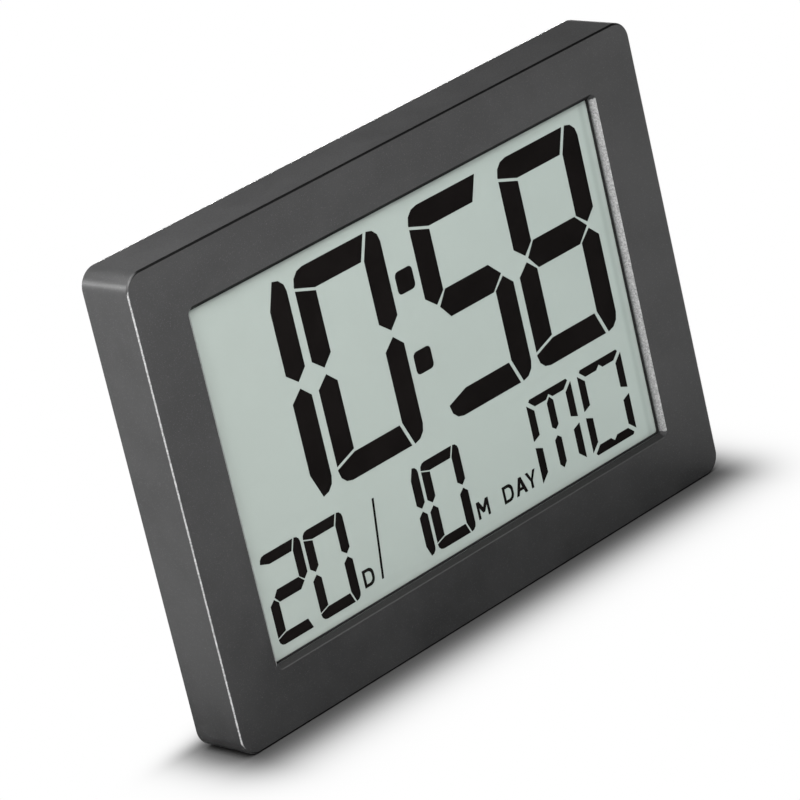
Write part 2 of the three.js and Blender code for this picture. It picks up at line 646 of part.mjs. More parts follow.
// Frame that clamps the display, with a slot for the contact strip
function displayRetainer() {
  const back = RETAINER_Y + RETAINER_THICKNESS;
  const half = GLASS_WIDTH / 2 + RETAINER_LAP;
  const low = LEDGE_Z - RETAINER_LAP;
  const body = ring(
    half, GLASS_WIDTH / 2 - RETAINER_BAR + RETAINER_LAP, [low, GLASS_TOP + RETAINER_LAP],
    [low + RETAINER_BAR + RETAINER_LAP, GLASS_TOP + RETAINER_LAP - RETAINER_BAR],
    RETAINER_CORNER, RETAINER_Y, back,
  );
  const ears = frameScrewPlaces().map(([x, z]) => (
    rodY(x, z, FRAME_SCREW.head / 2 + EAR_WALL, RETAINER_Y, back, SMALL_SIDES)
  ));
  const holes = frameScrewPlaces().map(([x, z]) => (
    rodY(x, z, FRAME_SCREW.shank / 2 + HOLE_CLEARANCE, RETAINER_Y - OVER, back + OVER, SMALL_SIDES)
  ));
  const boardHoles = boardScrewPlaces().map(([x, z]) => (
    rodY(x, z, BOARD_SCREW.shank / 2 + THREAD_CLEARANCE, RETAINER_Y - OVER, back + OVER, SMALL_SIDES)
  ));
  const slot = block(
    [-STRIP_HALF - FIT, STRIP_HALF + FIT], [RETAINER_Y - OVER, back + OVER],
    [STRIP_Z - FIT, STRIP_Z + STRIP_THICKNESS + FIT],
  );
  return cut(union([body, ...ears]), [...holes, ...boardHoles, slot]);
}

// Rubber strip that joins the glass ledge to the board
function contactStrip() {
  return block(
    [-STRIP_HALF, STRIP_HALF],
    [FRONT_GLASS_Y + GLASS_THICKNESS + LAYER_GAP, BOARD_Y - LAYER_GAP],
    [STRIP_Z, STRIP_Z + STRIP_THICKNESS],
  );
}

function mainBoard() {
  const half = BOARD_WIDTH / 2;
  const outline = roundedRect(-half, half, BOARD_BOTTOM, BOARD_BOTTOM + BOARD_HEIGHT, BOARD_CORNER);
  const holes = boardScrewPlaces().map(([x, z]) => (
    rodY(x, z, BOARD_SCREW.shank / 2 + HOLE_CLEARANCE, BOARD_Y - OVER, BOARD_BACK_Y + OVER, SMALL_SIDES)
  ));
  return cut(plate(outline, BOARD_Y, BOARD_BACK_Y, SMALL_ARC_STEPS), holes);
}

// A shape turned about Y: profile points are radius and height, from the axis back to the axis
function turnedY(profile, x, y, z, sides = SIDES) {
  const points = profile.map(([radius, height]) => new THREE.Vector2(radius, height));
  return solid(new THREE.LatheGeometry(points, sides).translate(x, y, z));
}

// A pan-head screw whose head's underside is at y and whose tip points forward
function screw({ shank, head, headHeight, length }, [x, z], y, recess) {
  const body = turnedY([
    [0, -length], [shank * 0.3, -length], [shank / 2, shank / 2 - length], [shank / 2, 0],
    [head / 2, 0], [head / 2, headHeight * 0.5], [head * 0.34, headHeight], [0, headHeight],
  ], x, y, z, SMALL_SIDES);
  if (!recess) return body;
  const arm = head * 0.3;
  const slot = head * 0.08;
  const depths = [y + headHeight * 0.35, y + headHeight + OVER];
  return cut(body, [
    block([x - arm, x + arm], depths, [z - slot, z + slot]),
    block([x - slot, x + slot], depths, [z - arm, z + arm]),
  ]);
}

// Places of the lid's two tabs along X
function lidTabs() {
  return [LID_LEFT + LID_TAB_INSET, LID_RIGHT - LID_TAB_INSET];
}

// Bosses and walls that stand on the inside of the rear cover
function coverInnerWalls() {
  const tray = block(
    [-TRAY_HALF - TRAY_WALL, TRAY_HALF + TRAY_WALL], [TRAY_FLOOR_Y - TRAY_WALL, COVER_Y + OVER],
    [TRAY_BOTTOM - TRAY_WALL, TRAY_TOP + TRAY_WALL],
  );
  const scoop = block(
    [-SCOOP_RADIUS - TRAY_WALL, SCOOP_RADIUS + TRAY_WALL], [TRAY_FLOOR_Y - TRAY_WALL, COVER_Y + OVER],
    [TRAY_BOTTOM - SCOOP_RADIUS - TRAY_WALL, TRAY_BOTTOM],
  );
  const socketEnd = PIN_END + FIT + TRAY_WALL;
  const sockets = block(
    [-socketEnd, socketEnd], [TRAY_FLOOR_Y - TRAY_WALL, COVER_Y + OVER],
    [HINGE_Z - STAND_PIN_DIAMETER / 2 - SOCKET_WALL, TRAY_TOP + TRAY_WALL],
  );
  const bay = block(
    [BAY_LEFT - BAY_WALL, BAY_RIGHT + BAY_WALL], [BAY_FLOOR_Y - BAY_FLOOR, COVER_Y + OVER],
    [BAY_BOTTOM - BAY_WALL, BAY_TOP + BAY_WALL],
  );
  const rim = block(
    [LID_LEFT - BAY_WALL, LID_RIGHT + BAY_WALL], [LID_SEAT_Y - LEDGE_THICKNESS, COVER_Y + OVER],
    [LID_BOTTOM - BAY_WALL, LID_TOP + BAY_WALL],
  );
  const pocket = block(
    [-POCKET_WIDTH / 2 - BAY_WALL, POCKET_WIDTH / 2 + BAY_WALL],
    [POCKET_FLOOR_Y - BAY_WALL, COVER_Y + OVER], [POCKET_BOTTOM - BAY_WALL, POCKET_TOP + BAY_WALL],
  );
  const bosses = caseScrewPlaces().map(([x, z]) => (
    rodY(x, z, CASE_SCREW.head / 2 + BOSS_WALL, CASE_BOSS_Y, COVER_Y + OVER, SMALL_SIDES)
  ));
  return [tray, scoop, sockets, bay, rim, pocket, ...bosses];
}

// The stand's tray, its finger scoop and the sockets of its pins
function trayCuts() {
  const reach = PIN_END + FIT;
  return [
    plate(standOutline(TRAY_GAP), TRAY_FLOOR_Y, BACK_Y + OVER),
    rodY(0, TRAY_BOTTOM, SCOOP_RADIUS, TRAY_FLOOR_Y, BACK_Y + OVER),
    rodX(HINGE_Y, HINGE_Z, STAND_PIN_DIAMETER / 2 + PIN_CLEARANCE, -reach, reach),
  ];
}

// The bay, the lid's seat, the ways of its tabs and its catch, and the slots of the contact tabs
function bayCuts() {
  const seat = roundedRect(
    LID_LEFT - FIT, LID_RIGHT + FIT, LID_BOTTOM - FIT, LID_TOP + FIT, LID_CORNER + FIT,
  );
  const seatFoot = LID_SEAT_Y - LEDGE_THICKNESS;
  const tabs = lidTabs().flatMap((x) => {
    const across = [x - LID_TAB_WIDTH / 2 - FIT, x + LID_TAB_WIDTH / 2 + FIT];
    return [
      block(across, [TAB_Y - TAB_SWING, seatFoot], [LID_BOTTOM - LID_TAB_REACH - FIT, BAY_BOTTOM + OVER]),
      block(across, [seatFoot - OVER, LID_SEAT_Y + OVER], [LID_BOTTOM + FIT, BAY_BOTTOM + OVER]),
    ];
  });
  const catchWay = block(
    [LID_MIDDLE - LID_HALF_TONGUE - FIT, LID_MIDDLE + LID_HALF_TONGUE + FIT],
    [seatFoot + FIT, LID_SEAT_Y + OVER], [LID_TOP - CATCH_WIDTH - FIT, LID_TOP + FIT],
  );
  const nail = block(
    [LID_MIDDLE - LID_HALF_TONGUE, LID_MIDDLE + LID_HALF_TONGUE], [LID_Y, BACK_Y + OVER],
    [LID_TOP, LID_TOP + TONGUE_LENGTH / 2],
  );
  return [
    block([BAY_LEFT, BAY_RIGHT], [BAY_FLOOR_Y, BACK_Y + OVER], [BAY_BOTTOM, BAY_TOP]),
    plate(seat, LID_SEAT_Y, BACK_Y + OVER, SMALL_ARC_STEPS), ...tabs, catchWay, nail,
    ...[LOWER_CELL_Z, UPPER_CELL_Z].map((z) => block(
      [BAY_RIGHT - OVER, BAY_RIGHT + BAY_WALL + OVER], tabDepth(FIT),
      [z - TAB_HALF - FIT, z + TAB_HALF + FIT],
    )),
  ];
}

// Depths that a contact's solder tab takes, or its slot with a clearance round it
function tabDepth(clearance = 0) {
  const y = CELL_Y - CONTACT_SIZE / 2;
  return [y - clearance, y + CONTACT_SHEET + clearance];
}

// The keyhole and the pocket behind it
function keyholeCuts() {
  const through = [COVER_Y - OVER, BACK_Y + OVER];
  return [
    block([-POCKET_WIDTH / 2, POCKET_WIDTH / 2], [POCKET_FLOOR_Y, COVER_Y], [POCKET_BOTTOM, POCKET_TOP]),
    rodY(0, KEYHOLE_Z, KEYHOLE_DIAMETER / 2, ...through),
    block([-KEYHOLE_SLOT / 2, KEYHOLE_SLOT / 2], through, [KEYHOLE_Z, KEYHOLE_TOP]),
    rodY(0, KEYHOLE_TOP, KEYHOLE_SLOT / 2, ...through),
  ];
}

// Centre of each button along X
function buttonPlaces() {
  return BUTTON_NAMES.map((name, i) => [name, BUTTON_FIRST_X + i * BUTTON_PITCH]);
}

// A button's outline, grown for its opening and its flange
function buttonOutline(x, grow) {
  const w = BUTTON_WIDTH / 2 + grow;
  const h = BUTTON_HEIGHT / 2 + grow;
  return roundedRect(x - w, x + w, BUTTON_Z - h, BUTTON_Z + h, BUTTON_CORNER + grow);
}

// Plate that closes the back, with the bay, the stand's tray and the keyhole
function rearCover() {
  const inset = CASE_WALL + COVER_GAP;
  const half = CASE_WIDTH / 2 - inset;
  const outline = roundedRect(-half, half, inset, CASE_HEIGHT - inset, CASE_CORNER - inset);
  const body = union([plate(outline, COVER_Y, BACK_Y), ...coverInnerWalls()]);
  const screws = caseScrewPlaces().flatMap(([x, z]) => [
    rodY(x, z, CASE_SCREW.head / 2 + 2 * HOLE_CLEARANCE, COVER_Y, BACK_Y + OVER),
    rodY(x, z, CASE_SCREW.shank / 2 + HOLE_CLEARANCE, CASE_BOSS_Y - OVER, BACK_Y, SMALL_SIDES),
  ]);
  const openings = buttonPlaces().map(([, x]) => (
    plate(buttonOutline(x, FIT), COVER_Y - OVER, BACK_Y + OVER, SMALL_ARC_STEPS)
  ));
  const labelX = BUTTON_FIRST_X + (BUTTON_NAMES.length - 1) * BUTTON_PITCH / 2;
  const labelOutline = roundedRect(
    labelX - LABEL_WIDTH / 2, labelX + LABEL_WIDTH / 2,
    CASE_HEIGHT / 2, CASE_HEIGHT / 2 + LABEL_HEIGHT, LABEL_CORNER,
  );
  const label = plate(labelOutline, BACK_Y - LABEL_DEPTH, BACK_Y + OVER, SMALL_ARC_STEPS);
  return cut(body, [...trayCuts(), ...bayCuts(), ...keyholeCuts(), ...screws, ...openings, label]);
}

// Lid of the bay, with two tabs below and a latch tongue above
function batteryLid() {
  const outline = roundedRect(LID_LEFT, LID_RIGHT, LID_BOTTOM, LID_TOP, LID_CORNER);
  const face = plate(outline, LID_Y, LID_Y + LID_THICKNESS, SMALL_ARC_STEPS);
  const neckZ = LID_BOTTOM + 2 * FIT;
  const tabs = lidTabs().flatMap((x) => {
    const across = [x - LID_TAB_WIDTH / 2, x + LID_TAB_WIDTH / 2];
    return [
      block(across, [TAB_Y, LID_Y + LAYER_GAP], [neckZ, neckZ + TAB_NECK]),
      block(across, [TAB_Y, TAB_Y + LID_TAB_THICKNESS], [LID_BOTTOM - LID_TAB_REACH, neckZ + LAYER_GAP]),
    ];
  });
  const latch = block(
    [LID_MIDDLE - LID_HALF_TONGUE + FIT, LID_MIDDLE + LID_HALF_TONGUE - FIT],
    [LID_SEAT_Y - LEDGE_THICKNESS + 2 * FIT, LID_Y + LAYER_GAP], [LID_TOP - CATCH_WIDTH, LID_TOP - FIT],
  );
  const slots = [-1, 1].map((side) => {
    const x = LID_MIDDLE + side * LID_HALF_TONGUE;
    return block(
      [x - TONGUE_SLOT / 2, x + TONGUE_SLOT / 2], [LID_Y - OVER, BACK_Y + OVER],
      [LID_TOP - TONGUE_LENGTH, LID_TOP + OVER],
    );
  });
  return cut(union([face, ...tabs, latch]), slots);
}

// The leg's outline, tapered to its foot; its tray has the same one, grown by a gap
function standOutline(grow, top = HINGE_Z + STAND_THICKNESS / 2) {
  const half = STAND_WIDTH / 2 + grow;
  const foot = STAND_FOOT_WIDTH / 2 + grow;
  const floor = STAND_FLOOR_Z - grow;
  const shoulder = HINGE_Z - STAND_SHOULDER;
  return outlineOf([
    [-foot, floor + STAND_CHAMFER], [-foot + STAND_CHAMFER, floor], [foot - STAND_CHAMFER, floor],
    [foot, floor + STAND_CHAMFER], [half, shoulder], [half, top + grow], [-half, top + grow],
    [-half, shoulder],
  ]);
}

// Fold-out leg, closed: it hangs from two moulded pins and lies in its tray
function standLeg() {
  const half = STAND_WIDTH / 2;
  const window = STAND_FOOT_WIDTH / 2 - STAND_BORDER;
  const outline = standOutline(0, HINGE_Z);
  outline.holes.push(roundedRect(
    -window, window, STAND_FLOOR_Z + STAND_BORDER + STAND_CHAMFER,
    HINGE_Z - STAND_SHOULDER - STAND_BORDER / 2, STAND_CHAMFER,
  ));
  const front = HINGE_Y - STAND_THICKNESS / 2;
  return union([
    plate(outline, front, front + STAND_THICKNESS, SMALL_ARC_STEPS),
    rodX(HINGE_Y, HINGE_Z, STAND_THICKNESS / 2, -half, half),
    rodX(HINGE_Y, HINGE_Z, STAND_PIN_DIAMETER / 2, -half - STAND_PIN_LENGTH, half + STAND_PIN_LENGTH),
  ]);
}

// Body of a push switch, with the well of its plunger
function switchBody(x) {
  const half = SWITCH_SIZE / 2;
  const body = block([x - half, x + half], [SWITCH_Y, SWITCH_TOP_Y], [BUTTON_Z - half, BUTTON_Z + half]);
  const floor = SWITCH_TOP_Y - PLUNGER_SUNK - BUTTON_TRAVEL - FIT;
  const radius = PLUNGER_DIAMETER / 2 + HOLE_CLEARANCE;
  return cut(body, [rodY(x, BUTTON_Z, radius, floor, SWITCH_TOP_Y + OVER, SMALL_SIDES)]);
}

function switchPlunger(x) {
  const ends = [SWITCH_TOP_Y - PLUNGER_SUNK, SWITCH_TOP_Y + PLUNGER_RISE];
  return rodY(x, BUTTON_Z, PLUNGER_DIAMETER / 2, ...ends, SMALL_SIDES);
}

// Cap in the cover, with the flange that keeps it in and the stem that meets the plunger
function buttonCap(x) {
  const flangeBack = COVER_Y - FIT;
  const flangeFront = flangeBack - FLANGE_THICKNESS;
  const plungerTop = SWITCH_TOP_Y + PLUNGER_RISE;
  return union([
    plate(buttonOutline(x, 0), flangeFront, BACK_Y - BUTTON_INSET, SMALL_ARC_STEPS),
    plate(buttonOutline(x, BUTTON_FLANGE), flangeFront, flangeBack, SMALL_ARC_STEPS),
    rodY(x, BUTTON_Z, BUTTON_STEM / 2, plungerTop + LAYER_GAP, flangeFront + OVER / 2, SMALL_SIDES),
  ]);
}

// A round cell along X, its nub towards +X where side is 1 and towards -X where it is -1
function cell(z, side, nubEnd) {
  const radius = CELL_DIAMETER / 2;
  const can = CELL_LENGTH - CELL_NUB_LENGTH;
  const points = [
    [0, 0], [radius - CELL_HEEL, 0], [radius, CELL_HEEL],
    [radius, can - CELL_SHOULDER], [radius - CELL_SHOULDER, can],
    [CELL_NUB / 2, can], [CELL_NUB / 2, CELL_LENGTH], [0, CELL_LENGTH],
  ].map(([r, along]) => new THREE.Vector2(r, along));
  const geometry = new THREE.LatheGeometry(points, SIDES).rotateZ(-side * Math.PI / 2);
  return solid(geometry.translate(nubEnd - side * CELL_LENGTH, CELL_Y, z));
}

// A square contact sheet against an end wall of the bay
function contactSheet(x, z) {
  const half = CONTACT_SIZE / 2;
  return block([x, x + CONTACT_SHEET], [CELL_Y - half, CELL_Y + half], [z - half, z + half]);
}

// A contact with a solder tab that goes out through the wall towards the stand's tray
function tabContact(z) {
  const x = BAY_RIGHT - FIT - CONTACT_SHEET;
  const tab = block([x, BAY_RIGHT + BAY_WALL + TAB_HALF], tabDepth(), [z - TAB_HALF, z + TAB_HALF]);
  return contactSheet(x, z).add(tab);
}

// One sheet that joins the two cells at the far end
function bridgeContact() {
  const x = BAY_LEFT + FIT;
  const half = CONTACT_SIZE / 2;
  return block(
    [x, x + CONTACT_SHEET], [CELL_Y - half, CELL_Y + half], [LOWER_CELL_Z - half, UPPER_CELL_Z + half],
  );
}

// Centre line of a spring that narrows towards the cell
class SpringLine extends THREE.Curve {
  constructor(start, reach, z) {
    super();
    Object.assign(this, { start, reach, z });
  }

  getPoint(t, target = new THREE.Vector3()) {
    const angle = t * SPRING_TURNS * 2 * Math.PI;
    const radius = SPRING_WIDE + (SPRING_NARROW - SPRING_WIDE) * t;
    return target.set(
      this.start + this.reach * t, CELL_Y + radius * Math.cos(angle), this.z + radius * Math.sin(angle),
    );
  }
}

// Least distance between two turns of a line, less the wire's diameter
function leastGap(line, turns) {
  const count = turns * 24;
  const points = line.getPoints(count);
  let least = Infinity;
  for (let i = 0; i < count; i += 1) {
    for (let j = i + 12; j <= count; j += 1) least = Math.min(least, points[i].distanceTo(points[j]));
  }
  return least - SPRING_WIRE;
}

// A regular section for a tube
function tubeSection(radius, sides) {
  const points = Array.from({ length: sides }, (_, i) => {
    const angle = (i * 2 * Math.PI) / sides;
    return new THREE.Vector2(radius * Math.cos(angle), radius * Math.sin(angle));
  });
  return new THREE.Shape(points);
}

// Spring between a contact sheet and the flat end of a cell
function cellSpring(sheetX, side, z) {
  const start = sheetX + side * (SPRING_WIRE / 2 + FIT);
  const line = new SpringLine(start, side * (SPRING_LENGTH - SPRING_WIRE), z);
  console.log(`cell spring at z ${z.toFixed(1)}: least gap ${leastGap(line, SPRING_TURNS).toFixed(2)} mm`);
  return new THREE.ExtrudeGeometry(tubeSection(SPRING_WIRE / 2, SPRING_SIDES), {
    steps: SPRING_TURNS * SPRING_STEPS, extrudePath: line, bevelEnabled: false,
  });
}

// Lead from a contact's tab down the side of the tray to the board
function lead(z, padX) {
  const start = BAY_RIGHT + BAY_WALL + TAB_HALF + FIT;
  const y = tabDepth()[0] + CONTACT_SHEET / 2;
  const padZ = BOARD_BOTTOM + BOARD_HEIGHT - LEAD_PAD_DROP;
  const end = BOARD_BACK_Y + FIT;
  const path = new THREE.CatmullRomCurve3([
    new THREE.Vector3(start, y, z),
    new THREE.Vector3(start + LEAD_BEND, y, z - LEAD_BEND / 2),
    new THREE.Vector3(start + LEAD_BEND * 1.5, y + LEAD_DIAMETER / 2, z - LEAD_BEND * 3),
    new THREE.Vector3(padX, end + LEAD_BOW, (z + padZ) / 2),
    new THREE.Vector3(padX, end + LEAD_BOW, padZ + LEAD_BOW),
    new THREE.Vector3(padX, end + LEAD_BOW * 0.7, padZ + LEAD_BOW * 0.2),
    new THREE.Vector3(padX, end, padZ),
  ]);
  return new THREE.ExtrudeGeometry(tubeSection(LEAD_DIAMETER / 2, LEAD_SIDES), {
    steps: LEAD_STEPS, extrudePath: path, bevelEnabled: false,
  });
}

// Case and display
piece('front_housing', frontHousing(), 'case');
piece('window_gasket', windowGasket(), 'gasket');
piece('front_polariser', sheet(POLARISER_Y, FILM_THICKNESS, GLASS_BOTTOM, FILM_INSET), 'film');
piece('front_glass', sheet(FRONT_GLASS_Y, GLASS_THICKNESS, LEDGE_Z), 'glass');
piece('segment_layer', segmentLayer(), 'segment');
piece('rear_glass', sheet(REAR_GLASS_Y, GLASS_THICKNESS, GLASS_BOTTOM), 'glass');
piece('reflector', sheet(REFLECTOR_Y, FILM_THICKNESS, GLASS_BOTTOM, FILM_INSET), 'reflector');
piece('display_retainer', displayRetainer(), 'frame');

// Board and what it carries
piece('contact_strip', contactStrip(), 'rubber');
piece('main_board', mainBoard(), 'board');
piece('controller_chip', turnedY([
  [0, 0], [CHIP_DIAMETER / 2, 0], [CHIP_DIAMETER * 0.42, CHIP_HEIGHT * 0.6],
  [CHIP_DIAMETER * 0.2, CHIP_HEIGHT * 0.95], [0, CHIP_HEIGHT],
], 0, SWITCH_Y, BUTTON_Z - CHIP_DROP), 'epoxy');
piece('clock_crystal', rodX(
  SWITCH_Y + CRYSTAL_DIAMETER / 2, BUTTON_Z, CRYSTAL_DIAMETER / 2,
  CRYSTAL_X, CRYSTAL_X + CRYSTAL_LENGTH, SMALL_SIDES,
), 'can');
piece('capacitor', rodY(
  -BOARD_SCREW_PITCH, BUTTON_Z, CAPACITOR_DIAMETER / 2, SWITCH_Y, SWITCH_Y + CAPACITOR_HEIGHT,
), 'can');

// Buttons and their switches
for (const [name, x] of buttonPlaces()) {
  piece(`${name}_switch_body`, switchBody(x), 'epoxy');
  piece(`${name}_switch_plunger`, switchPlunger(x), 'frame');
  piece(`${name}_button`, buttonCap(x), 'button');
}

// Cells, contacts and leads
const nearSheetX = BAY_RIGHT - FIT - CONTACT_SHEET;
const farSheetX = BAY_LEFT + FIT + CONTACT_SHEET;
piece('upper_cell', cell(UPPER_CELL_Z, 1, nearSheetX - FIT), 'cell');
piece('lower_cell', cell(LOWER_CELL_Z, -1, farSheetX + FIT), 'cell');
piece('positive_contact', tabContact(UPPER_CELL_Z), 'steel');
piece('negative_contact', tabContact(LOWER_CELL_Z), 'steel');
piece('bridge_contact', bridgeContact(), 'steel');
piece('negative_spring', cellSpring(nearSheetX, -1, LOWER_CELL_Z), 'steel');
piece('bridge_spring', cellSpring(farSheetX, 1, UPPER_CELL_Z), 'steel');
piece('red_lead', lead(UPPER_CELL_Z, BAY_RIGHT + RED_LEAD_OFFSET), 'red');
piece('black_lead', lead(LOWER_CELL_Z, BAY_RIGHT + BLACK_LEAD_OFFSET), 'black');

// Back of the case
piece('rear_cover', rearCover(), 'cover');
piece('battery_lid', batteryLid(), 'cover');
piece('stand_leg', standLeg(), 'cover');

// Screws
caseScrewPlaces().forEach((place, i) => {
  piece(`case_screw_${i + 1}`, screw(CASE_SCREW, place, COVER_Y, true), 'steel');
});
frameScrewPlaces().forEach((place, i) => {
  piece(`frame_screw_${i + 1}`, screw(FRAME_SCREW, place, RETAINER_Y + RETAINER_THICKNESS, false), 'steel');
});
boardScrewPlaces().forEach((place, i) => {
  piece(`board_screw_${i + 1}`, screw(BOARD_SCREW, place, BOARD_BACK_Y, false), 'steel');
});

export default clock;
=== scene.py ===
import logging
import math
from dataclasses import dataclass, replace
from enum import Enum
from functools import cache
from typing import Iterable, Sequence, Union

import bmesh
import bpy
from mathutils import Matrix, Vector


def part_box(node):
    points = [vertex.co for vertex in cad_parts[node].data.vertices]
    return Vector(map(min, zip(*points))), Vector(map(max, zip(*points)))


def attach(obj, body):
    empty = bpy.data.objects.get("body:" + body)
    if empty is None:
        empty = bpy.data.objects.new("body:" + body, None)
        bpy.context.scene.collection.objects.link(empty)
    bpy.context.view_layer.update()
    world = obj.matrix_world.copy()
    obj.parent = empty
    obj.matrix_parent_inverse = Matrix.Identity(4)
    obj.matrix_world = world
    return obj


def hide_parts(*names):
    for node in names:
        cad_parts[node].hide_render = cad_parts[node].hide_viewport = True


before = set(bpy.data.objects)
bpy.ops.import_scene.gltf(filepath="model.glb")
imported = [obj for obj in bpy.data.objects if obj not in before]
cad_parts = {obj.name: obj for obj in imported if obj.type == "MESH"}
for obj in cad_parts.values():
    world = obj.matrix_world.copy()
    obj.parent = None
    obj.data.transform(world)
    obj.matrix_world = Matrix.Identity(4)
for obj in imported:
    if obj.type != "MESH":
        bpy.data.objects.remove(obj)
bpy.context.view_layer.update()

LOG = logging.getLogger("wall_clock")

MM = 0.001

Colour = tuple[float, float, float]
Point2 = tuple[float, float]
Point3 = tuple[float, float, float]
Span = tuple[float, float]
Outline = Sequence[Point2]
Socket = bpy.types.NodeSocket
Tree = bpy.types.NodeTree
Material = bpy.types.Material
Piece = bpy.types.Object
Mesh = bpy.types.Mesh
Value = Union[Socket, float, Sequence[float]]


class Body(Enum):
    """The CAD body that the added pieces ride on."""

    CASE = "case"


def show(name: str, data: bpy.types.ID) -> Piece:
    """Makes an object of its data and puts it in the scene."""
    made = bpy.data.objects.new(name, data)
    bpy.context.scene.collection.objects.link(made)
    return made


def closed(name: str, shape: bmesh.types.BMesh) -> Mesh:
    """Turns an edited shape into a mesh and frees it.

    Args:
        name: the mesh's name.
        shape: the edited shape.

    Returns:
        The mesh.
    """
    mesh = bpy.data.meshes.new(name)
    shape.to_mesh(mesh)
    shape.free()
    return mesh


def nodes_with(word: str) -> list[str]:
    """Finds the CAD nodes whose names hold a word."""
    return sorted(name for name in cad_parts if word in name)


# Wiring and shared effects


class Wiring:
    """One node tree, with short ways to place its nodes and join them.

    The Mix node has sockets for several kinds of value; the numbers are those for colours.
    """

    mix_inputs: tuple[int, ...] = (0, 6, 7)
    mix_output: int = 2

    def __init__(self, tree: Tree) -> None:
        """Takes the tree of a material, a world or a group."""
        self.tree = tree

    def put(self, kind: str, **settings: object) -> bpy.types.Node:
        """Places one node.

        Args:
            kind: Blender's identifier of the node.
            settings: the node's own properties, by name.

        Returns:
            The new node.
        """
        node = self.tree.nodes.new(kind)
        for name, value in settings.items():
            setattr(node, name, value)
        return node

    def feed(self, socket: Socket, value: Value) -> None:
        """Joins a socket to another, or gives it a plain value.

        Args:
            socket: the input to feed.
            value: an output socket, a number or a colour.
        """
        if isinstance(value, Socket):
            self.tree.links.new(value, socket)
        elif isinstance(value, (int, float)):
            socket.default_value = value
        else:
            values = tuple(value)
            wanted = len(socket.default_value)
            socket.default_value = values + (1.0,) * (wanted - len(values))

    def fill(self, node: bpy.types.Node, **values: Value) -> bpy.types.Node:
        """Feeds a node's inputs, by name with _ for a space, and returns the node."""
        for name, value in values.items():
            self.feed(node.inputs[name.replace("_", " ")], value)
        return node

    def maths(self, operation: str, *values: Value) -> Socket:
        """Adds a Math node.

        Args:
            operation: the node's operation, such as MULTIPLY.
            values: its inputs in order.

        Returns:
            The node's value.
        """
        node = self.put("ShaderNodeMath", operation=operation)
        for socket, value in zip(node.inputs, values):
            self.feed(socket, value)
        return node.outputs[0]

    def blend(self, share: Value, low: Value, high: Value) -> Socket:
        """Mixes two colours.

        Args:
            share: 0 for the first colour, 1 for the second.
            low: the first colour.
            high: the second colour.

        Returns:
            The mixed colour.
        """
        node = self.put("ShaderNodeMix", data_type="RGBA")
        for index, value in zip(self.mix_inputs, (share, low, high)):
            self.feed(node.inputs[index], value)
        return node.outputs[self.mix_output]

    def layer(self, share: Socket, low: Socket, high: Socket) -> Socket:
        """Mixes two shaders.

        Args:
            share: 0 for the first shader, 1 for the second.
            low: the first shader.
            high: the second shader.

        Returns:
            The mixed shader.
        """
        node = self.put("ShaderNodeMixShader")
        for socket, value in zip(node.inputs, (share, low, high)):
            self.feed(socket, value)
        return node.outputs[0]

    def span(self, value: Value, low: float, high: float, to_low: float = 0.0,
             to_high: float = 1.0, smooth: bool = True) -> Socket:
        """Maps a value from one span to another.

        Args:
            value: the number to map.
            low: the value that gives to_low.
            high: the value that gives to_high.
            to_low: the result at low.
            to_high: the result at high.
            smooth: True to ease in and out.

        Returns:
            The mapped value.
        """
        kind = "SMOOTHSTEP" if smooth else "LINEAR"
        node = self.put("ShaderNodeMapRange", interpolation_type=kind)
        return self.fill(node, Value=value, From_Min=low, From_Max=high, To_Min=to_low,
                         To_Max=to_high).outputs[0]

    def noise(self, vector: Socket, scale: Value, detail: float = 2.0,
              roughness: float = 0.5) -> Socket:
        """Adds cloudy noise.

        Args:
            vector: the coordinates.
            scale: its features in a metre.
            detail: the number of finer layers.
            roughness: the weight of the finer layers.

        Returns:
            The noise's value.
        """
        return self.fill(self.put("ShaderNodeTexNoise"), Vector=vector, Scale=scale,
                         Detail=detail, Roughness=roughness).outputs[0]

    def axes(self, vector: Socket) -> tuple[Socket, Socket, Socket]:
        """Splits a vector into its x, y and z."""
        node = self.put("ShaderNodeSeparateXYZ")
        self.feed(node.inputs[0], vector)
        return tuple(node.outputs)


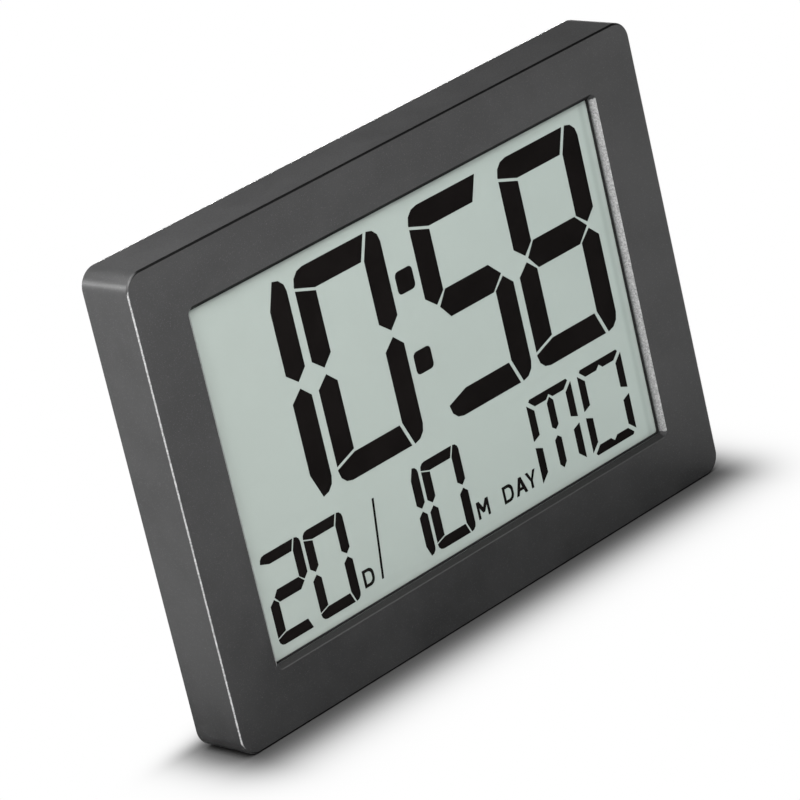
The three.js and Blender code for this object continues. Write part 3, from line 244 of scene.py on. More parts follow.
@dataclass(frozen=True)
class SharedEffects:
    """The effects that more than one finish uses, each built once as a node group."""

    cloud_scale: float = 0.6
    cell_share: float = 0.6
    grain_tones: Span = (0.45, 1.15)
    mottle_tones: Span = (0.3, 0.7)
    break_tones: Span = (0.35, 0.65)
    mark_tones: Span = (0.55, 0.7)

    def _start(self, name: str, inputs: dict[str, float],
               *outputs: str) -> tuple[Wiring, dict[str, Socket], dict[str, Socket]]:
        """Opens a new group.

        Args:
            name: the group's name.
            inputs: its numbers by name with their usual values; Vector is added.
            outputs: the names of its results.

        Returns:
            The group's wiring, its inputs and its outputs, by name.
        """
        tree = bpy.data.node_groups.new(name, "ShaderNodeTree")
        tree.interface.new_socket("Vector", in_out="INPUT", socket_type="NodeSocketVector")
        for label, value in inputs.items():
            made = tree.interface.new_socket(label, in_out="INPUT", socket_type="NodeSocketFloat")
            made.default_value = value
        for label in outputs:
            tree.interface.new_socket(label, in_out="OUTPUT", socket_type="NodeSocketFloat")
        wiring = Wiring(tree)
        source = wiring.put("NodeGroupInput")
        target = wiring.put("NodeGroupOutput")
        return (wiring, {s.name: s for s in source.outputs if s.name},
                {s.name: s for s in target.inputs if s.name})

    @cache
    def grain(self) -> Tree:
        """The fine eroded texture of a mould: Height for the bump and Tone for the shade.

        Returns:
            The group.
        """
        w, given, result = self._start("mould_grain", {"Scale": 2500.0}, "Height", "Tone")
        cells = w.fill(w.put("ShaderNodeTexVoronoi", feature="SMOOTH_F1"),
                       Vector=given["Vector"], Scale=given["Scale"])
        cloud = w.noise(given["Vector"], w.maths("MULTIPLY", given["Scale"], self.cloud_scale),
                        detail=3.0, roughness=0.6)
        height = w.maths("MULTIPLY_ADD", cells.outputs["Distance"], self.cell_share, cloud)
        w.feed(result["Height"], height)
        w.feed(result["Tone"], w.span(height, *self.grain_tones))
        return w.tree

    @cache
    def flake(self) -> Tree:
        """Metal flakes in a plastic: Mask for the flakes, Shade for how much each one catches.

        Returns:
            The group.
        """
        w, given, result = self._start(
            "metal_flake", {"Scale": 3000.0, "Share": 0.3}, "Mask", "Shade")
        cells = w.fill(w.put("ShaderNodeTexVoronoi", feature="F1"),
                       Vector=given["Vector"], Scale=given["Scale"])
        shade, chance, _ = w.axes(cells.outputs["Color"])
        w.feed(result["Mask"], w.maths("LESS_THAN", chance, given["Share"]))
        w.feed(result["Shade"], shade)
        return w.tree

    @cache
    def mottle(self) -> Tree:
        """Slow uneven tone over a surface.

        Returns:
            The group.
        """
        w, given, result = self._start("slow_mottle", {"Scale": 30.0}, "Tone")
        cloud = w.noise(given["Vector"], given["Scale"], detail=4.0, roughness=0.55)
        w.feed(result["Tone"], w.span(cloud, *self.mottle_tones))
        return w.tree

    @cache
    def break_up(self) -> Tree:
        """Breaks up a mask into patches; it breaks the painted highlight on the front's edges into
        glints.

        Returns:
            The group.
        """
        w, given, result = self._start(
            "mask_break", {"Mask": 0.0, "Scale": 900.0, "Break": 0.5}, "Kept")
        cloud = w.noise(given["Vector"], given["Scale"], detail=3.0, roughness=0.65)
        broken = w.maths("MULTIPLY", w.span(cloud, *self.break_tones), given["Break"])
        kept = w.maths("SUBTRACT", given["Mask"], broken)
        w.feed(result["Kept"], w.maths("MAXIMUM", kept, 0.0))
        return w.tree

    @cache
    def scuffs(self) -> Tree:
        """Hairline marks in one direction: Marks is 1 on a mark.

        Returns:
            The group.
        """
        w, given, result = self._start("hair_scuffs", {"Scale": 400.0, "Stretch": 20.0}, "Marks")
        x, y, z = w.axes(given["Vector"])
        joined = w.fill(w.put("ShaderNodeCombineXYZ"), Y=y,
                        X=w.maths("MULTIPLY", x, given["Stretch"]),
                        Z=w.maths("MULTIPLY", z, given["Stretch"]))
        drawn = w.noise(joined.outputs[0], given["Scale"])
        w.feed(result["Marks"], w.span(drawn, *self.mark_tones))
        return w.tree


EFFECTS = SharedEffects()


# Finishes


def blank_material(name: str) -> Material:
    """Makes a material with no nodes.

    Args:
        name: the material's name.

    Returns:
        The material.
    """
    material = bpy.data.materials.new(name)
    material.use_nodes = True
    material.node_tree.nodes.clear()
    return material


class Coat(Wiring):
    """The nodes of one material that has a Principled surface."""

    bevel_samples: int = 6

    def __init__(self, tree: Tree) -> None:
        """Puts the surface in an empty tree, and finds the place and the way it faces.

        Args:
            tree: the material's tree.
        """
        super().__init__(tree)
        self.surface = self.put("ShaderNodeBsdfPrincipled")
        self.fill(self.put("ShaderNodeOutputMaterial"), Surface=self.surface.outputs[0])
        source = self.put("ShaderNodeTexCoord")
        self.place, self.normal = source.outputs["Object"], source.outputs["Normal"]

    def give(self, **values: Value) -> None:
        """Feeds the surface's inputs, by name with _ for a space."""
        self.fill(self.surface, **values)

    def effect(self, group: Tree, scale: float, **values: Value) -> dict[str, Socket]:
        """Places a shared effect on the object's coordinates and returns its outputs."""
        node = self.fill(self.put("ShaderNodeGroup", node_tree=group), Vector=self.place,
                         Scale=scale, **values)
        return {socket.name: socket for socket in node.outputs}

    def mottle(self, scale: float) -> Socket:
        """Gives a slow uneven tone."""
        return self.effect(EFFECTS.mottle(), scale)["Tone"]

    def marks(self, scale: float, stretch: float) -> Socket:
        """Gives a mask of fine marks in one direction."""
        return self.effect(EFFECTS.scuffs(), scale, Stretch=stretch)["Marks"]

    def rough(self, tone: Socket, low: float, high: float, least: float = 0.0) -> None:
        """Spreads the roughness over a tone that runs from a least value to 1."""
        self.give(Roughness=self.span(tone, least, 1.0, low, high))

    def grained(self, scale: float, height: float, roughness: Span,
                tone: Socket | None = None) -> Socket:
        """Gives the surface a fine grain, and a roughness that varies.

        Args:
            scale: the grain's features in a metre.
            height: how far the grain stands up, in metres.
            roughness: the least and the greatest roughness.
            tone: what the roughness follows, or None for the grain.

        Returns:
            The grain's tone.
        """
        grain = self.effect(EFFECTS.grain(), scale)
        self.rough(grain["Tone"] if tone is None else tone, *roughness)
        self.bump(grain["Height"], height)
        return grain["Tone"]

    def bump(self, height: Value, distance: float, edge_round: float = 0.0) -> None:
        """Raises the surface by a height, and rounds its sharp edges to the eye.

        Args:
            height: the height's value, from about 0 to 1.
            distance: how far 1 stands up, in metres.
            edge_round: the radius that sharp edges seem to have, in metres.
        """
        node = self.fill(self.put("ShaderNodeBump"), Distance=distance, Height=height)
        if edge_round > 0:
            rounded = self.fill(self.put("ShaderNodeBevel", samples=self.bevel_samples),
                                Radius=edge_round)
            self.feed(node.inputs["Normal"], rounded.outputs[0])
        self.give(Normal=node.outputs[0])


class Finish:
    """What every finish has in common: a name for its material and a way to paint it."""

    def make(self, name: str) -> Material:
        """Builds the material under its name."""
        material = blank_material(name)
        self.paint(Coat(material.node_tree))
        return material

    def paint(self, w: Coat) -> None:
        """Puts the finish on a material; each finish has its own."""
        raise NotImplementedError


@dataclass(frozen=True)
class FrontEdges:
    """The front's bevels and rounds, with painted light: a painted sparkling highlight on the
    upright ones, painted shade on the level ones.
    """

    # The first two colours are a painted highlight with painted glints, on the upright edges and
    # the window's walls.
    bare: Colour = (0.36, 0.36, 0.36)
    painted_glint: Colour = (0.62, 0.62, 0.62)
    painted_glint_scale: float = 3300.0
    glint_break_scale: float = 1300.0
    glint_break_share: float = 0.45
    upright_slant: Span = (0.4, 0.9)
    level_slant: Span = (0.1, 0.5)
    straight: Span = (0.05, 0.3)
    wall_slant: Span = (0.9, 0.95)
    # The painted highlight fades out between these depths, towards the display.
    highlight_depths: Span = (-12.4 * MM, -9.8 * MM)
    lip_depths: Span = (-12.8 * MM, -12.6 * MM)
    window_half: float = 112.2 * MM
    sill_heights: Span = (24 * MM, 28 * MM)
    # Painted shade on the level edges, and a painted highlight along the lip of the window's sill.
    dark: Colour = (0.018, 0.018, 0.018)
    lip_highlight: Colour = (0.06, 0.06, 0.06)
    level_roughness: float = 0.3

    def lay(self, w: Coat, colour: Socket, rough: Socket) -> tuple[Socket, Socket]:
        """Lays the painted highlight of the upright edges and the painted shade of the level ones
        over the plastic, and makes the level ones metallic off the sill.

        Args:
            w: the material's nodes.
            colour: the plastic's colour.
            rough: the plastic's roughness.

        Returns:
            The colour and the roughness with the edges.
        """
        upright, level = self._masks(w)
        sill, tone = self._level_tone(w)
        flake = w.effect(EFFECTS.flake(), self.painted_glint_scale, Share=1.0)
        # Painted shade on the level edges.
        colour = w.blend(level, colour, tone)
        # The painted highlight with painted glints on the upright edges.
        colour = w.blend(upright, colour, w.blend(flake["Shade"], self.bare, self.painted_glint))
        w.give(Metallic=w.maths("MULTIPLY", level, w.maths("SUBTRACT", 1.0, sill)))
        return colour, w.maths("MULTIPLY_ADD", level, self.level_roughness, rough)

    def _in_window(self, w: Wiring, across: Socket) -> Socket:
        """Masks the width of the window."""
        return w.maths("LESS_THAN", w.maths("ABSOLUTE", across), self.window_half)

    def _masks(self, w: Coat) -> tuple[Socket, Socket]:
        """Finds the bevels and rounds by the way they face, for the painted highlight and the
        painted shade.

        Args:
            w: the material's nodes.

        Returns:
            Masks of the upright edges and walls, which take the painted highlight, and of the level
            edges, which take the painted shade.
        """
        x, y, z = w.axes(w.normal)
        across, depth, _ = w.axes(w.place)
        outward = w.maths("MULTIPLY", y, -2.0)
        masks = []
        for side, along, slants in ((x, z, self.upright_slant), (z, x, self.level_slant)):
            slant = w.maths("MULTIPLY", w.maths("ABSOLUTE", side), outward)
            straight = w.span(w.maths("ABSOLUTE", along), *self.straight, 1.0, 0.0)
            masks.append(w.maths("MULTIPLY", w.span(slant, *slants), straight))
        # The window's upright walls take the painted highlight as well.
        wall = w.maths("MULTIPLY", w.span(w.maths("ABSOLUTE", x), *self.wall_slant),
                       self._in_window(w, across))
        # Breaks the painted highlight into patches, so that it reads as glints.
        broken_glint = w.effect(EFFECTS.break_up(), self.glint_break_scale, Break=self.glint_break_share,
                        Mask=w.maths("MAXIMUM", masks[0], wall))
        # The painted highlight fades out deeper in the window.
        outer = w.span(depth, *self.highlight_depths, 1.0, 0.0)
        return w.maths("MULTIPLY", broken_glint["Kept"], outer), masks[1]
    # Lights the scene evenly, shows plain white to the camera, and shows gloss and glass a light
    # that dims from the horizon up to the ceiling.

    def _level_tone(self, w: Coat) -> tuple[Socket, Socket]:
        """Gives the tone of the level edges: painted shade, with a painted highlight along a lip on
        the window's sill.

        Args:
            w: the material's nodes.

        Returns:
            A mask of the window's sill, and the colour.
        """
        across, depth, up = w.axes(w.place)
        low, high = self.sill_heights
        sill = w.maths("MULTIPLY", self._in_window(w, across), w.maths(
            "MULTIPLY", w.maths("GREATER_THAN", up, low), w.maths("LESS_THAN", up, high)))
        # A painted highlight along the lip at the front of the sill.
        lip_highlight = w.span(depth, *self.lip_depths, 1.0, 0.0)
        return sill, w.blend(sill, self.dark, w.blend(lip_highlight, self.dark, self.lip_highlight))


@dataclass(frozen=True)
class MouldedPlastic(Finish):
    """Injection moulded plastic with an eroded grain, and metal flake if it has a share of it."""

    colour: Colour
    pale: Colour
    roughness: float = 0.5
    roughness_spread: Span = (-0.05, 0.07)
    grain_scale: float = 3200.0
    grain_height: float = 0.008 * MM
    grain_share: float = 0.4
    mottle_scale: float = 40.0
    mottle_share: float = 0.6
    edge_round: float = 0.0
    flake_share: float = 0.0
    flake_scale: float = 4200.0
    flake_colour: Colour = (0.08, 0.08, 0.082)
    flake_contrast: float = 2.0
    edges: FrontEdges | None = None

    def paint(self, w: Coat) -> None:
        """Puts the plastic on a material, with its flake, and the painted highlight and painted
        shade of its edges if it has them.

        Args:
            w: the material's nodes.
        """
        grain = w.effect(EFFECTS.grain(), self.grain_scale)
        tone = w.maths("MULTIPLY_ADD", grain["Tone"], self.grain_share,
                       w.maths("MULTIPLY", w.mottle(self.mottle_scale), self.mottle_share))
        colour = w.blend(tone, self.colour, self.pale)
        low, high = (self.roughness + part for part in self.roughness_spread)
        rough = w.span(grain["Tone"], 0.0, 1.0, low, high)
        if self.flake_share > 0:
            flake = w.effect(EFFECTS.flake(), self.flake_scale, Share=self.flake_share)
            bright = w.maths("POWER", flake["Shade"], self.flake_contrast)
            colour = w.blend(w.maths("MULTIPLY", flake["Mask"], bright), colour, self.flake_colour)
        # Painted highlight and painted shade on the edges.
        if self.edges:
            colour, rough = self.edges.lay(w, colour, rough)
        w.give(Base_Color=colour, Roughness=rough)
        w.bump(grain["Height"], self.grain_height, self.edge_round)


@dataclass(frozen=True)
class DisplayFace(Finish):
    """The display as it looks from outside: a pale film with a satin front and painted light in its
    colour.
    """

    # The film's colour with painted light: paler to the right.
    left: Colour = (0.4, 0.45, 0.42)
    right: Colour = (0.54, 0.62, 0.58)
    right_share: float = 0.96
    mottle_scale: float = 14.0
    mottle_share: float = 0.08
    # A paler rim of painted light, lifting the shade of the window's walls.
    rim: Colour = (0.62, 0.68, 0.64)
    rim_share: float = 0.3
    rim_width: float = 4.5 * MM
    # A darker line of painted reflection near the right edge.
    painted_reflection: Colour = (0.3, 0.37, 0.34)
    dim_share: float = 0.3
    dim_inset: float = 3.6 * MM
    dim_half: float = 2.25 * MM
    view_half: float = 110.1 * MM
    view_low: float = 27.1 * MM
    view_high: float = 171.7 * MM
    grain_scale: float = 3500.0
    grain_height: float = 0.002 * MM
    roughness: Span = (0.33, 0.39)
    gloss: float = 0.15

    def paint(self, w: Coat) -> None:
        """Puts the film on a material."""
        w.give(Base_Color=self._tone(w), Specular_IOR_Level=self.gloss)
        w.grained(self.grain_scale, self.grain_height, self.roughness)

    def _tone(self, w: Coat) -> Socket:
        """Gives the film's colour with painted light: paler to the right, a paler rim of painted
        light against the shade of the window's walls, and a darker line of painted reflection near
        the right edge.

        Args:
            w: the material's nodes.

        Returns:
            The colour.
        """
        x, _, z = w.axes(w.place)
        # Painted light: the film is paler to the right.
        along = w.maths("MULTIPLY_ADD", w.mottle(self.mottle_scale), self.mottle_share,
                        w.span(x, -self.view_half, self.view_half, 0.0, self.right_share,
                               smooth=False))
        colour = w.blend(along, self.left, self.right)
        to_right = w.maths("SUBTRACT", self.view_half, x)
        to_side = w.maths("SUBTRACT", self.view_half, w.maths("ABSOLUTE", x))
        to_level = w.maths("MINIMUM", w.maths("SUBTRACT", z, self.view_low),
                           w.maths("SUBTRACT", self.view_high, z))
        # Painted light: a paler rim lifts the shade of the window's walls.
        edge = w.span(w.maths("MINIMUM", to_side, to_level), 0.0, self.rim_width, 1.0, 0.0)
        colour = w.blend(w.maths("MULTIPLY", edge, self.rim_share), colour, self.rim)
        # Painted reflection: a darker line near the right edge, where the window's bevel shows in
        # the film.
        off_line = w.maths("ABSOLUTE", w.maths("SUBTRACT", to_right, self.dim_inset))
        line = w.span(off_line, 0.0, self.dim_half, 1.0, 0.0)
        return w.blend(w.maths("MULTIPLY", line, self.dim_share), colour, self.painted_reflection)


@dataclass(frozen=True)
class TwoTone(Finish):
    """A finely grained surface in two near tones, which follow its grain or a slow mottle."""

    colour: Colour
    other: Colour
    roughness: Span
    mottle_scale: float = 0.0
    roughness_mottled: bool = True
    gloss: float = 0.5
    grain_scale: float = 3000.0
    grain_height: float = 0.01 * MM

    def paint(self, w: Coat) -> None:
        """Puts the two tones on a material.

        Args:
            w: the material's nodes.
        """
        mottle = w.mottle(self.mottle_scale) if self.mottle_scale > 0 else None
        grain = w.grained(self.grain_scale, self.grain_height, self.roughness,
                          mottle if self.roughness_mottled else None)
        tone = grain if mottle is None else mottle
        w.give(Base_Color=w.blend(tone, self.colour, self.other), Specular_IOR_Level=self.gloss)


@dataclass(frozen=True)
class FigureBlack(TwoTone):
    """The dark of a lit segment, seen through the film."""

    colour: Colour = (0.0068, 0.0058, 0.0055)
    other: Colour = (0.00918, 0.00783, 0.007425)
    roughness: Span = (0.36, 0.44)
    mottle_scale: float = 60.0
    roughness_mottled: bool = False
    gloss: float = 0.01
    grain_scale: float = 3500.0
    grain_height: float = 0.002 * MM


@dataclass(frozen=True)
class SoftRubber(TwoTone):
    """Matt rubber or foam with open pores."""

    colour: Colour = (0.012, 0.012, 0.012)
    other: Colour = (0.024, 0.024, 0.024)
    roughness: Span = (0.8, 0.95)
    gloss: float = 0.2
    grain_scale: float = 2400.0
    grain_height: float = 0.05 * MM


@dataclass(frozen=True)
class Sleeve(TwoTone):
    """A lead's plastic sleeve."""

    colour: Colour = (0.3, 0.012, 0.01)
    other: Colour = (0.229, 0.013, 0.0115)
    roughness: Span = (0.35, 0.5)
    mottle_scale: float = 250.0


@dataclass(frozen=True)
class PadInk(TwoTone):
    """The thin pale ink of the legends on the back."""

    colour: Colour = (0.5, 0.5, 0.49)
    other: Colour = (0.36, 0.36, 0.3528)
    roughness: Span = (0.5, 0.65)
    grain_scale: float = 2800.0


@dataclass(frozen=True)
class ThinGlass(Finish):
    """The display's own glass plates, behind the film."""

    colour: Colour = (0.5, 0.56, 0.53)
    greener: Colour = (0.46, 0.56, 0.5035)
    mottle_scale: float = 25.0
    roughness: Span = (0.05, 0.1)
    coat_weight: float = 0.5

    def paint(self, w: Coat) -> None:
        """Puts the glass on a material.

        Args:
            w: the material's nodes.
        """
        tone = w.mottle(self.mottle_scale)
        w.rough(tone, *self.roughness)
        w.give(Base_Color=w.blend(tone, self.colour, self.greener), Coat_Weight=self.coat_weight)


@dataclass(frozen=True)
class RolledMetal(Finish):
    """Rolled or drawn metal with fine draw marks, for contacts, springs, cans and screws."""

    colour: Colour = (0.62, 0.61, 0.58)
    tarnish: Colour = (0.42, 0.39, 0.34)
    mottle_scale: float = 350.0
    roughness: float = 0.28
    mark_roughness: float = 0.15
    mark_height: float = 0.004 * MM
    mark_scale: float = 500.0
    mark_stretch: float = 8.0

    def paint(self, w: Coat) -> None:
        """Puts the metal on a material.

        Args:
            w: the material's nodes.
        """
        marks = w.marks(self.mark_scale, self.mark_stretch)
        w.give(Base_Color=w.blend(w.mottle(self.mottle_scale), self.colour, self.tarnish),
               Metallic=1.0,
               Roughness=w.maths("MULTIPLY_ADD", marks, self.mark_roughness, self.roughness))
        w.bump(marks, self.mark_height)


@dataclass(frozen=True)
class BandedRubber(Finish):
    """The contact strip: thin dark and pale rubber layers side by side along its length."""

    layers: float = 900.0
    dark_share: float = 0.5
    pale: Colour = (0.35, 0.33, 0.31)
    dark: Colour = (0.02, 0.02, 0.02)
    grain_scale: float = 3000.0
    grain_height: float = 0.01 * MM
    roughness: Span = (0.6, 0.75)

    def paint(self, w: Coat) -> None:
        """Puts the layers on a material.

        Args:
            w: the material's nodes.
        """
        turn = w.maths("FRACT", w.maths("MULTIPLY", w.axes(w.place)[0], self.layers))
        dark = w.maths("LESS_THAN", turn, self.dark_share)
        w.give(Base_Color=w.blend(dark, self.pale, self.dark))
        w.grained(self.grain_scale, self.grain_height, self.roughness)


@dataclass(frozen=True)
class BoardLaminate(Finish):
    """Fibre laminate under a green mask, with tracks that stand up a little under it."""

    mask_colour: Colour = (0.012, 0.085, 0.035)
    track_colour: Colour = (0.03, 0.17, 0.07)
    track_pitch: float = 1.6 * MM
    track_edges: Span = (0.3 * MM, 0.38 * MM)
    track_height: float = 0.03 * MM
    route_scale: float = 60.0
    route_step: float = 0.08
    route_reach: float = 12 * MM
    break_scale: float = 35.0
    break_share: float = 0.55
    weave_turn: float = 9000.0
    weave_height: float = 0.1
    roughness: Span = (0.22, 0.34)

    def paint(self, w: Coat) -> None:
        """Puts the board's face on a material.

        Args:
            w: the material's nodes.
        """
        x, _, z = w.axes(w.place)
        route = w.maths("SNAP", w.noise(w.place, self.route_scale, 0.0), self.route_step)
        across = w.maths("ADD", z, w.maths("MULTIPLY", route, self.route_reach))
        turn = w.maths("PINGPONG", across, self.track_pitch / 2)
        broken = w.maths("LESS_THAN", w.noise(w.place, self.break_scale, 1.0), self.break_share)
        track = w.maths("MULTIPLY", w.span(turn, *self.track_edges, 1.0, 0.0), broken)
        weave = w.maths("MULTIPLY", *(w.maths("SINE", w.maths("MULTIPLY", axis, self.weave_turn))
                                      for axis in (x, z)))
        w.give(Base_Color=w.blend(track, self.mask_colour, self.track_colour))
        w.rough(weave, *self.roughness, least=-1.0)
        w.bump(w.maths("MULTIPLY_ADD", weave, self.weave_height, track), self.track_height)


@dataclass(frozen=True)
class CellJacket(Finish):
    """A cell's dark film over its can, with a pale band at its positive end and bare ends."""

    film: Colour = (0.03, 0.03, 0.035)
    paler: Colour = (0.0345, 0.0345, 0.04025)
    band: Colour = (0.33, 0.34, 0.35)
    metal: Colour = (0.6, 0.6, 0.58)
    low_end: float = 0.0
    high_end: float = 0.0
    positive_high: bool = True
    band_length: float = 11 * MM
    bare_end: float = 0.8 * MM
    mottle_scale: float = 180.0
    film_metal: float = 0.35
    roughness: float = 0.3
    mark_roughness: float = 0.1
    mark_height: float = 0.003 * MM
    mark_scale: float = 300.0
    mark_stretch: float = 6.0

    def paint(self, w: Coat) -> None:
        """Puts the jacket on a material.

        Args:
            w: the material's nodes.
        """
        x = w.axes(w.place)[0]
        from_low = w.maths("SUBTRACT", x, self.low_end)
        from_high = w.maths("SUBTRACT", self.high_end, x)
        banded = w.maths("LESS_THAN", from_high if self.positive_high else from_low,
                         self.band_length)
        bare = w.maths("LESS_THAN", w.maths("MINIMUM", from_low, from_high), self.bare_end)
        film = w.blend(w.mottle(self.mottle_scale), self.film, self.paler)
        marks = w.marks(self.mark_scale, self.mark_stretch)
        w.give(Base_Color=w.blend(bare, w.blend(banded, film, self.band), self.metal),
               Metallic=w.maths("MAXIMUM", bare, self.film_metal),
               Roughness=w.maths("MULTIPLY_ADD", marks, self.mark_roughness, self.roughness))
        w.bump(marks, self.mark_height)


@dataclass(frozen=True)
class FootShade:
    """How the floor darkens near the clock: where the sky is shut off, and round the foot."""

    reach: float
    open_span: Span
    foot_shade: float
    fades: Point3
    samples: int = 16
    foot_half: Point2 = (131 * MM, 13 * MM)

    def open_share(self, w: Wiring) -> Socket:
        """Tells how open the floor is to the light.

        Args:
            w: the material's wiring.

        Returns:
            Near 0 at the foot, 1 away from it.
        """
        sky = w.fill(w.put("ShaderNodeAmbientOcclusion", samples=self.samples),
                     Distance=self.reach)
        return w.maths("MULTIPLY", w.span(sky.outputs["AO"], *self.open_span), self._off_foot(w))

    def _off_foot(self, w: Wiring) -> Socket:
        """Fades the shade out beyond the ends, in front and behind.

        Args:
            w: the material's wiring.

        Returns:
            Near 0 at the foot, 1 away from it.
        """
        place = w.put("ShaderNodeTexCoord")
        x, y, _ = w.axes(place.outputs["Object"])
        sides = (w.maths("ABSOLUTE", x), w.maths("MULTIPLY", y, -1.0), y)
        halves = (self.foot_half[0], self.foot_half[1], self.foot_half[1])
        total: Value = 0.0
        for side, half, fade in zip(sides, halves, self.fades):
            past = w.maths("DIVIDE", w.maths("MAXIMUM", w.maths("SUBTRACT", side, half), 0.0), fade)
            total = w.maths("MULTIPLY_ADD", past, past, total)
        near = w.maths("EXPONENT", w.maths("MULTIPLY", total, -1.0))
        return w.maths("MULTIPLY_ADD", near, -self.foot_shade, 1.0)


@dataclass(frozen=True)
class StudioFloor:
    """A pale floor that looks plain white, except where the object keeps light off it."""

    colour: Colour = (0.8, 0.8, 0.8)
    shadow: Colour = (0.06, 0.06, 0.06)
    seen: FootShade = FootShade(0.04, (0.1, 0.9), 0.93, (18.6 * MM, 24.5 * MM, 9 * MM))
    mirrored: FootShade = FootShade(0.6, (0.65, 1.0), 0.85, (60 * MM, 5 * MM, 80 * MM))

    def make(self, name: str) -> Material:
        """Builds the material.

        Args:
            name: the material's name.

        Returns:
            The material.
        """
        material = blank_material(name)
        w = Wiring(material.node_tree)
        lit = w.fill(w.put("ShaderNodeBsdfDiffuse"), Color=self.colour).outputs[0]
        dark = w.fill(w.put("ShaderNodeBsdfDiffuse"), Color=self.shadow).outputs[0]
        white = w.put("ShaderNodeEmission").outputs[0]
        path = w.put("ShaderNodeLightPath").outputs
        direct = w.maths("MAXIMUM", path["Is Camera Ray"], path["Is Transmission Ray"])
        seen = w.layer(self.seen.open_share(w), dark, white)
        mirrored = w.layer(self.mirrored.open_share(w), dark, white)
        other = w.layer(path["Is Glossy Ray"], lit, mirrored)
        w.fill(w.put("ShaderNodeOutputMaterial"), Surface=w.layer(direct, other, seen))
        return material


# Shaping


